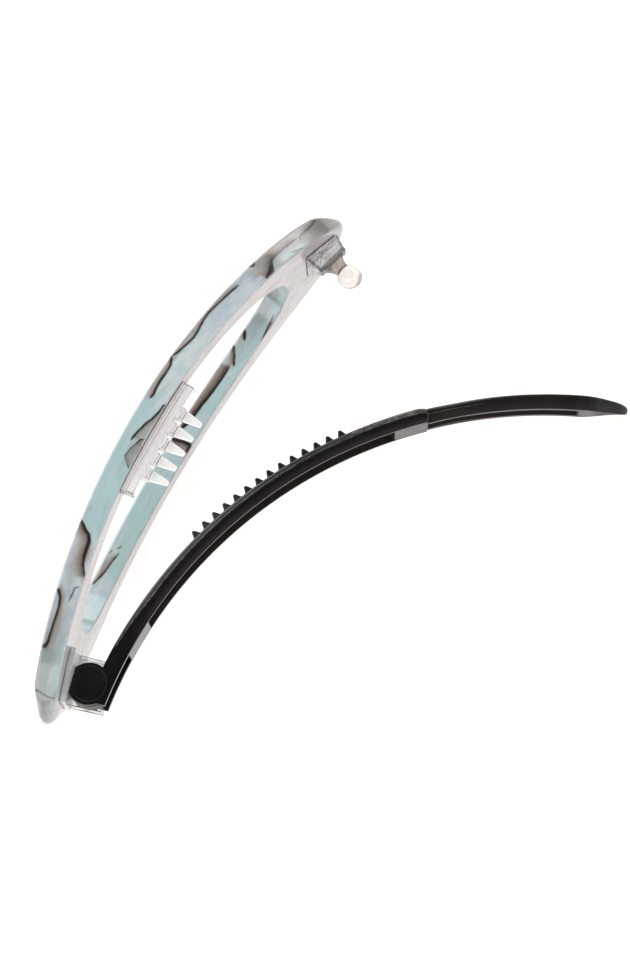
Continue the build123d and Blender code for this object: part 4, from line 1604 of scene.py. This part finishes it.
@dataclass
class Arm:
    """The black arm: discs and a tongue on the pin, a channelled strap with saw teeth, and a slotted fork."""

    clip: ClipFrame
    hinge: Pair
    swing: float = 7.04
    bend_distance: float = 90.0
    inner_radius: float = 85.7
    thickness: float = 3.2
    half_width: float = 2.95
    start_degrees: float = -1.9
    strap_degrees: float = 5.2
    channel_depth: float = 2.0
    channel_wall: float = 0.9
    far_wall: float = 0.55
    first_bridge: float = 9.9
    second_bridge: float = 49.5
    shoulder_degrees: float = 53.7
    edge_radius: float = 1.2
    barrel_radius: float = 3.95
    barrel_half: float = 0.95
    pin_radius: float = 1.1
    fork_half: float = 2.1
    fork_thickness: float = 2.95
    fork_edge: float = 0.8
    fork_slot_half: float = 1.3
    fork_slot: Pair = (53.95, 72.9)
    tip_degrees: float = 79.0
    saw_teeth: int = 14
    saw_first: float = 22.0
    saw_last: float = 43.4
    saw_height: float = 1.55
    saw_base: float = 1.9
    saw_tip: float = 0.5
    saw_half: float = 1.5
    saw_sunk: float = 0.4
    saw_lean: float = 0.25
    bridge_ease: float = 0.12
    edge_start: float = 0.4
    edge_growth: float = 8.0
    bevel_growth: Pair = (0.2, 6.0)
    drop: float = 0.28
    drop_span: Pair = (52.9, 53.75)
    # Where the lighter speckled patch near the shoulder fades in and out: partly scuffing, partly a painted highlight
    worn_sheen_from: Pair = (43.6, 45.0)
    worn_sheen_to: Pair = (-53.0, -52.0)
    bulge: float = 0.5
    bulge_from: float = 51.6
    taper_from: float = 72.8
    shine_to: Pair = (75.6, 73.4)
    dull_from: Pair = (73.8, 76.2)
    bead_stop: float = 68.5
    bead_radius: float = 0.09
    strap_rows: int = 460
    fork_sides: tuple = (150, 10, 150, 8)
    arc: Arc = field(init=False)

    def __post_init__(self) -> None:
        """Works out the bend's arc, whose angle 0 is the line through the hinge."""
        turn = math.radians(180.0 - self.swing)
        x = self.hinge[0] + self.bend_distance * math.sin(turn)
        y = self.hinge[1] + self.bend_distance * math.cos(turn)
        self.arc = Arc((x, y), self.inner_radius, -self.swing)

    def cheek(self, low: float, high: float, bevel: float, recess: float = 0.0) -> Skin:
        """A plate of one outline: the disc about the hinge joined to the start of the strap.

        The disc meets the strap's outer face at the angle whose cosine is (D^2 + f^2 - r^2) / (2 D f), with D
        from the bend's centre to the hinge and f to that face. It meets the start's line, at the angle s, at
        the distance D cos s - sqrt(r^2 - (D sin s)^2).

        Args:
            low: its lower place on Z.
            high: its upper place on Z.
            bevel: radius of its rims.
            recess: how far its underside lies inside the strap's.
        Returns:
            The closed surface.
        """
        far, radius, distance = self.inner_radius + self.thickness, self.barrel_radius, self.bend_distance
        meet = math.degrees(math.acos((distance**2 + far**2 - radius**2) / (2 * distance * far)))
        start = math.radians(self.start_degrees)
        low_reach = distance * math.cos(start) - math.sqrt(radius**2 - (distance * math.sin(start)) ** 2)
        meet_turn = math.radians(meet)
        first = math.degrees(math.atan2(far * math.cos(meet_turn) - distance, far * math.sin(meet_turn)))
        last = math.degrees(math.atan2(low_reach * math.cos(start) - distance, low_reach * math.sin(start))) % 360
        disc = arc_points(radius, first, last, 64)
        angle = np.radians(-self.swing)
        tangent, outward = np.array([np.cos(angle), -np.sin(angle)]), np.array([np.sin(angle), np.cos(angle)])
        disc = np.array(self.hinge) + disc[:, :1] * tangent + disc[:, 1:] * outward
        first, last, end = (
            self.arc.along(a) for a in (self.start_degrees + 0.12, self.strap_degrees + 0.5, meet + 0.1)
        )
        inner = self.arc.bend(np.linspace(first, last, 26), 0.0, np.full(26, recess))[:, :2]
        outer = self.arc.bend(np.linspace(last, end, 16), 0.0, np.full(16, self.thickness))[:, :2]
        rows = plate_rows(anticlockwise(np.concatenate([disc, inner, outer])), low, high, bevel)
        reach = np.linalg.norm(rows[..., :2] - np.array(self.arc.centre), axis=-1) - self.inner_radius
        return closed(rows, polish=smooth(-reach, -0.3, -0.02))

    def strap(self) -> Skin:
        """The strap: a section carried along the arc, with a channel from underneath between two solid bridges.

        The section runs up the near side to a fine bead, over a long chamfer to the crowned outer face,
        round to the far side and in along the channel, whose depth eases from nothing at the bridges.
        Towards the fork the outer face drops, the end bulges by b (1 - ((q - m) / m)^2), and a few
        shrinking rows close it. Each part of the section gives z across, q out from the inner face, how
        far it is polished, how far it is greyed by scuffing and by a painted highlight, and how much a
        painted gradient of light lightens it.

        Returns:
            The closed surface.
        """
        rows, ease = self.strap_rows, self.bridge_ease
        degrees = np.linspace(self.strap_degrees, self.shoulder_degrees, rows)
        depth = self.channel_depth * smooth(degrees, self.first_bridge, self.first_bridge + ease)
        depth = (depth * smooth(-degrees, -self.second_bridge, -self.second_bridge + ease) + 0.01)[:, None]
        rounding = smooth(degrees, self.strap_degrees, self.strap_degrees + self.edge_growth)
        edge = (self.edge_start + (self.edge_radius - self.edge_start) * rounding)[:, None]
        top = (self.thickness - self.drop * smooth(degrees, *self.drop_span) ** 1.6)[:, None]
        half, lip, tall = self.half_width, 0.1, 0.85 * edge
        near, far = half - self.channel_wall, -(half - self.far_wall)
        turn, lip_turn = (np.linspace(0.0, math.pi / 2, count)[None] for count in (7, 3))
        up = np.linspace(0.05, 0.96, 9)[None]
        crown = 1 - 2 * np.linspace(0.06, 0.94, 7)[None]
        one = np.ones((rows, 1))
        grown = smooth(degrees, *(self.strap_degrees + growth for growth in self.bevel_growth))[:, None]
        hollow = 0.01 + 0.08 * grown
        # A lighter speckled patch near the shoulder, partly scuffing and partly a painted highlight
        worn_sheen_patch = (smooth(degrees, *self.worn_sheen_from) * smooth(-degrees, *self.worn_sheen_to))[:, None]
        span = half - 0.55 * edge
        open_q = np.minimum(depth, 0.5)

        def row(*values: float) -> Array:
            """Numbers of one row, the same in every row."""
            return np.array([values]) * one

        parts = [
            # Near lip, and the slightly hollow near side over it, which painted light makes lighter towards the lip
            (half - lip + lip * np.sin(lip_turn), lip - lip * np.cos(lip_turn), 0.9, 0.0, 0.3),
            (
                half - hollow * np.sin(math.pi * up), lip + (top - tall - 0.18 - lip) * up,
                0.0, 0.0, smooth(-up, -0.75, -0.05) * grown,
            ),
            # Bead, greyed as a painted highlight, chamfer and crowned outer face, which are lightened a little by
            # painted light and carry the speckled patch near the shoulder
            (
                half + row(0.0, 0.035, 0.05, 0.03, -0.04), top - tall - row(0.16, 0.11, 0.05, 0.0, -0.04),
                0.0, 0.9, 0.0,
            ),
            (
                half - 0.05 - (0.55 * edge - 0.05) * (1 - np.cos(turn)), top - tall * (1 - np.sin(turn)),
                0.0, worn_sheen_patch * 0.8 + 0.06, 0.25,
            ),
            (span * crown, top + 0.1 * (1 - crown**2), 0.0, worn_sheen_patch * 0.5 * smooth(crown, -0.6, 0.4), 0.2),
            # Far edge, far side and far lip
            (-half + edge - edge * np.sin(turn), top - edge + edge * np.cos(turn), 0.0, 0.0, 0.0),
            (row(-half, -half, -half), top - edge + (lip - top + edge) * row(0.08, 0.5, 0.92), 0.0, 0.0, 0.0),
            (-half + lip - lip * np.cos(lip_turn), lip - lip * np.sin(lip_turn), 0.6, 0.0, 0.0),
            (row(-half + 0.14, far - 0.06, far), row(0.0, 0.0, 0.0), 0.6, 0.0, 0.0),
            # Channel: far wall, painted lighter as light, floor, whose polish is set below and which is painted a
            # little lighter as light, near wall and that wall's flared edge
            (row(far + 0.02, far + 0.04, far + 0.1), depth * row(0.04, 0.5, 0.97), 0.0, 0.0, 0.9),
            (far + 0.1 + (near - far - 0.16) * row(0.05, 0.3, 0.7, 0.95), depth * row(1, 1, 1, 1), -1.0, 0.0, 0.3),
            (row(near - 0.06, near - 0.03, near), open_q + (depth - open_q) * row(0.97, 0.5, 0.04), 0.0, 0.0, 0.0),
            (row(near + 0.04, half - 0.44, half - 0.38), open_q * row(0.9, 0.03, 0.0), 0.5, 0.0, 0.0),
            # Near wall's underside
            (row(half - 0.34, half - 0.14), row(0.0, 0.0), 1.0, 0.0, 0.0),
        ]

        def spread(part: tuple, item: int) -> Array:
            """One item of a part, for every row and every point of the part."""
            return np.broadcast_to(part[item] * one, (rows, np.broadcast(part[0], part[1]).shape[1]))

        z, q, polish, worn, dust = (
            np.concatenate([spread(part, item) for part in parts], 1) for item in range(5)
        )
        # The channel's floor is polished only where it has no depth, at the bridges
        polish = np.where(polish < 0, smooth(-depth, -0.4, -0.02), polish)
        bulge = self.bulge * smooth(degrees, self.bulge_from, self.shoulder_degrees)[:, None] ** 2
        along = np.radians(degrees)[:, None] * self.inner_radius + bulge * (1 - ((q - 1.7) / 1.7) ** 2)
        fields = {"z": z, "q": q, "along": along, "polish": polish, "worn": worn, "dust": dust}
        closing = np.linspace(0.0, math.pi / 2, 4)[:-1, None]
        # Rows that close both ends; the end at the fork is greyed, partly scuffing and partly a painted highlight on
        # its rounded end
        for last, size, end_wear_and_sheen in ((0, 0.03, 0.0), (-1, 0.2, 0.55)):
            outer, shrink = size * np.cos(closing), size * (1 - np.sin(closing))
            step = {key: value[last][None] + 0 * shrink for key, value in fields.items()}
            step["z"] = step["z"] * (1 - shrink / half)
            step["q"] = 1.6 + (step["q"] - 1.6) * (1 - shrink / 1.6)
            step["along"] = step["along"] + (outer if last else -outer)
            step["worn"] = step["worn"] * 0 + end_wear_and_sheen
            for key, value in fields.items():
                fields[key] = np.concatenate([value, step[key][::-1]] if last else [step[key], value])
        place = self.arc.bend(fields.pop("along"), fields.pop("z"), fields.pop("q"))
        return closed(place, **fields)

    def fork(self) -> Skin:
        """The fork: a ring between the slot's outline and its own, with rounded edges, thinned to a rounded tip.

        Its underside is polished up to near the tip, which is rougher than the rest, and it is painted lighter
        towards its inner face as a gradient of light.

        Returns:
            The closed surface.
        """
        start, stop = self.arc.along(self.shoulder_degrees - 0.8), self.arc.along(self.tip_degrees)
        head, foot = (self.arc.along(a) for a in self.fork_slot)
        half, gap = self.fork_half, self.fork_slot_half
        outer = np.array([(start, -half), (stop, -half), (stop, half), (start, half)])
        inner = np.array([(head, -gap), (foot, -gap), (foot, gap), (head, gap)])
        rim = even_sides(outer, (0.1, 1.7, 1.7, 0.1), self.fork_sides)
        hole = even_sides(inner, (0.3, 0.5, 0.5, 0.3), self.fork_sides)
        width = np.linalg.norm(rim - hole, axis=1)
        way = (rim - hole) / width[:, None]
        tip, count = smooth(rim[:, 0], stop - 5.5, stop), len(width)
        edge = np.minimum(self.fork_edge * 0.95 + 0.2 * tip, width * 0.95)
        under = 0.1 + 0.75 * smooth(rim[:, 0], stop - 1.6, stop)
        radii = (under, edge, np.full(count, 0.14), np.full(count, 0.42))
        out, depth, angle = rounded_loop((np.zeros(count), 0.0), (width, self.fork_thickness), radii, 5, (3, 5))
        along = hole[:, :1] + way[:, :1] * out
        across = hole[:, 1:] + way[:, 1:] * out
        taper = smooth(along, self.arc.along(self.taper_from), stop + 0.6)
        tilt = taper * 0.36 * (half - across) * (1.0 - depth / self.fork_thickness)
        depth = depth * (1.0 - 0.3 * taper**1.4) + tilt
        shine, dull = ([self.arc.along(a) for a in pair] for pair in (self.shine_to, self.dull_from))
        polish = smooth(-np.sin(angle), 0.5, 0.95)[None] * smooth(-along, -shine[0], -shine[1])
        polish = polish - 1.3 * smooth(along, *dull)
        # Painted light: lighter towards the inner face
        dust = 0.25 + 0.75 * smooth(-depth, -1.9, -0.3)
        return closed(self.arc.bend(along, across, depth), True, polish=polish, worn=0.0 * polish, dust=dust)

    def bead(self) -> Skin:
        """The bead on the fork's near side: a thin rod along the arc whose radius eases to nothing at its far end,
        greyed all along as a painted highlight.

        Returns:
            The closed surface.
        """
        degrees = np.linspace(self.shoulder_degrees + 0.3, self.bead_stop, 120)
        radius = self.bead_radius * smooth(-degrees, -self.bead_stop, -60.0)[:, None] + 0.004
        angle = np.linspace(0.0, math.tau, 12, endpoint=False)[None]
        rise = smooth(degrees, 58.0, 68.0)[:, None]
        z = self.fork_half - 0.07 - 0.05 * rise + radius * np.cos(angle)
        q = self.fork_thickness - 1.22 + 0.3 * rise + radius * np.sin(angle)
        along = np.radians(degrees)[:, None] * self.inner_radius
        clean = 0.0 * z
        # Speckled grey all along: a painted highlight
        return closed(self.arc.bend(along, z, q), worn=clean + 0.7, polish=clean, dust=clean)

    def saw(self) -> Skin:
        """The saw: small plates that fall from a narrow top to a wide root, each stood on the outer face.

        Returns:
            The closed surfaces.
        """
        pitch = (self.saw_last - self.saw_first) / (self.saw_teeth - 1)
        base, tip, height = self.saw_base / 2, self.saw_tip / 2, self.saw_height
        low, step = -self.saw_sunk, 0.08
        corners = [(-base, low), (base, low), (base, step), (tip, height), (-tip, height), (-base, step)]
        outline = round_corners(np.array(corners), (0.05, 0.05, 0.12, 0.1, 0.1, 0.12), 3)
        rows = plate_rows(outline, -self.saw_half, self.saw_half, 0.14)
        skin = Skin()
        for number in range(self.saw_teeth):
            turn = math.radians(self.saw_first + number * pitch - self.swing)
            reach = self.inner_radius + self.thickness + rows[..., 1]
            x = self.arc.centre[0] + reach * math.sin(turn) + rows[..., 0] * math.cos(turn)
            y = self.arc.centre[1] + reach * math.cos(turn) - rows[..., 0] * math.sin(turn)
            lean = 1.0 - self.saw_lean * np.clip(rows[..., 1] / height, 0.0, 1.0)
            skin.grid(stacked(x, y, rows[..., 2] * lean), False)
        return skin

    def about_hinge(self, radii: Array, heights: Array, around: int) -> Skin:
        """A turned shape about the hinge's axis.

        Args:
            radii: radius at each height.
            heights: places on Z.
            around: points in a row.
        Returns:
            The closed surface.
        """
        rows = turned(radii, heights, around)
        return closed(stacked(self.hinge[0] + rows[..., 0], self.hinge[1] + rows[..., 2], rows[..., 1]))

    def pin(self) -> Skin:
        """The pin: a turned shape along Z with chamfered ends, through the ears.

        Returns:
            The closed surface.
        """
        reach = self.half_width - self.channel_wall + 0.1
        end = reach - np.array([0.0, 0.05, 0.12])
        heights = np.concatenate([-end, [-0.5, 0.5], end[::-1]])
        radii = self.pin_radius - np.array([0.14, 0.05, 0.0, 0.0, 0.0, 0.0, 0.05, 0.14])
        return self.about_hinge(radii, heights, 40)

    def boss(self, side: int) -> Skin:
        """The dished ring on a disc's outer face: a turned step 0.06 high with a shallow hollow.

        Args:
            side: 1 for the near disc and -1 for the far one.
        Returns:
            The closed surface.
        """
        radii = np.array([0.2, 1.4, 2.6, 3.0, 3.2, 3.3, 3.32, 3.2])
        heights = self.half_width + np.array([0.03, 0.03, 0.03, 0.035, 0.06, 0.05, 0.0, -0.2])
        return self.about_hinge(radii, heights * side, 72)

    def build(self) -> None:
        """Builds and dresses the arm."""
        satin = BlackPlastic().material("black_satin")
        wall = self.half_width - self.channel_wall
        pieces = {
            "arm_strap": self.strap(),
            "arm_fork": self.fork(),
            "arm_fork_bead": self.bead(),
            "arm_saw": self.saw(),
            "arm_cheek_near": self.cheek(wall, self.half_width, 0.1),
            "arm_cheek_far": self.cheek(-self.half_width, -wall, 0.16),
            "arm_tongue": self.cheek(-self.barrel_half, self.barrel_half, 0.12, 0.9),
            "arm_boss_near": self.boss(1),
            "arm_boss_far": self.boss(-1),
            "arm_pin": self.pin(),
        }
        group = Group(self.clip, "arm", Body.ARM, Slot.BLACK)
        for name, skin in pieces.items():
            group.add(name, skin, satin)


# The studio


@dataclass(frozen=True)
class Lamp:
    """A soft lamp at a turn from the front and a height over the floor, with its width, height and brightness."""

    name: str
    azimuth: float
    elevation: float
    width: float
    height: float
    distance: float
    radiance: float


@dataclass
class Studio:
    """A pale floor, soft lights and the camera at the photograph's angle."""

    clip: ClipFrame
    camera_place: Triple = (-95.43, -93.28, 413.58)
    camera_back: Triple = (-0.23747, -0.17141, 0.95615)
    camera_up: Triple = (0.84218, 0.4542, 0.29058)
    focal_pixels: float = 2306.44
    long_side_pixels: float = 969.0
    sensor: float = 36.0
    world_light: float = 0.09
    clip_range: Pair = (0.01, 20.0)
    floor_half: float = 3.0
    floor_tone: tuple = (0.45, 0.45, 0.45)
    floor_mottle: float = 0.985
    mottle_waves: float = 30.0
    floor_glow: float = 0.8
    floor_glow_tone: tuple = (1.0, 0.95, 0.925)
    ring: tuple = (
        Lamp("back_lamp", 180.0, 32.0, 1.0, 0.5, 0.85, 3.1),
        Lamp("back_right_lamp", 120.0, 28.0, 0.9, 0.45, 0.85, 2.8),
        Lamp("back_left_lamp", -120.0, 28.0, 0.9, 0.45, 0.85, 2.8),
        Lamp("right_lamp", 60.0, 26.0, 0.9, 0.45, 0.85, 2.45),
        Lamp("left_lamp", -60.0, 26.0, 0.9, 0.45, 0.85, 2.45),
        Lamp("front_lamp", 0.0, 20.0, 0.8, 0.35, 0.85, 1.85),
    )

    def camera(self) -> None:
        """Places the camera by its viewing axes."""
        data = bpy.data.cameras.new("camera")
        data.lens = self.focal_pixels / self.long_side_pixels * self.sensor
        data.sensor_width = self.sensor
        data.clip_start, data.clip_end = self.clip_range
        made = bpy.data.objects.new("camera", data)
        back, up = self.clip.turn(self.camera_back), self.clip.turn(self.camera_up)
        right = up.cross(back).normalized()
        up = back.cross(right)
        place = Vector(self.clip.place(np.array(self.camera_place)))
        made.matrix_world = Matrix.Translation(place) @ Matrix((right, up, back)).transposed().to_4x4()
        bpy.context.scene.collection.objects.link(made)
        bpy.context.scene.camera = made

    def floor(self) -> None:
        """The floor, with a very faint mottle."""
        mesh = bpy.data.meshes.new("floor")
        size = self.floor_half
        corners = [(-size, -size, 0), (size, -size, 0), (size, size, 0), (-size, size, 0)]
        mesh.from_pydata(corners, [], [(0, 1, 2, 3)])
        made = bpy.data.objects.new("floor", mesh)
        bpy.context.scene.collection.objects.link(made)
        g = Graph("floor_paper")
        mottle = g.noise(g.place(), self.mottle_waves)
        shade = tuple(x * self.floor_mottle for x in self.floor_tone)
        paper = g.finish(
            Base_Color=g.mix(self.floor_tone, shade, mottle), Roughness=0.75, Specular_IOR_Level=0.1,
            Emission_Color=self.floor_glow_tone, Emission_Strength=self.floor_glow,
        )
        made.data.materials.append(paper)

    def lights(self) -> None:
        """A dim even world and a ring of large soft lamps low round the object, brighter behind it."""
        world = bpy.data.worlds.new("studio")
        world.use_nodes = True
        bpy.context.scene.world = world
        sockets = world.node_tree.nodes["Background"].inputs
        sockets["Color"].default_value = (1.0, 1.0, 1.0, 1.0)
        sockets["Strength"].default_value = self.world_light
        for lamp in self.ring:
            turn, height = math.radians(lamp.azimuth), math.radians(lamp.elevation)
            flat = math.cos(height)
            place = Vector((flat * math.sin(turn), -flat * math.cos(turn), math.sin(height)))
            data = bpy.data.lights.new(lamp.name, "AREA")
            data.shape, data.size, data.size_y = "RECTANGLE", lamp.width, lamp.height
            data.energy = lamp.radiance * math.pi * lamp.width * lamp.height
            made = bpy.data.objects.new(lamp.name, data)
            made.location = place * lamp.distance
            made.rotation_euler = (-place).to_track_quat("-Z", "Y").to_euler()
            bpy.context.scene.collection.objects.link(made)
        bpy.context.scene.view_settings.view_transform = "Standard"


def main() -> None:
    """Builds the barrette and its studio."""
    logging.basicConfig(level=logging.INFO, format="%(name)s %(message)s")
    turn, reach = math.radians(HINGE_DEGREES), BOW_INNER_RADIUS - HINGE_DEPTH
    drop = math.sqrt(BOW_INNER_RADIUS**2 - (BOW_CHORD / 2) ** 2)
    hinge = (reach * math.sin(turn), reach * math.cos(turn) - drop)
    clip = ClipFrame.from_record(frame["record"], hinge)
    studio = Studio(clip)
    studio.camera()
    bow = Bow(clip)
    bow.build()
    Comb(clip, bow).build()
    HingeBracket(clip, bow, hinge).build()
    Catch(clip, bow).build()
    Arm(clip, hinge).build()
    studio.floor()
    studio.lights()


if __name__ == "__main__":
    main()
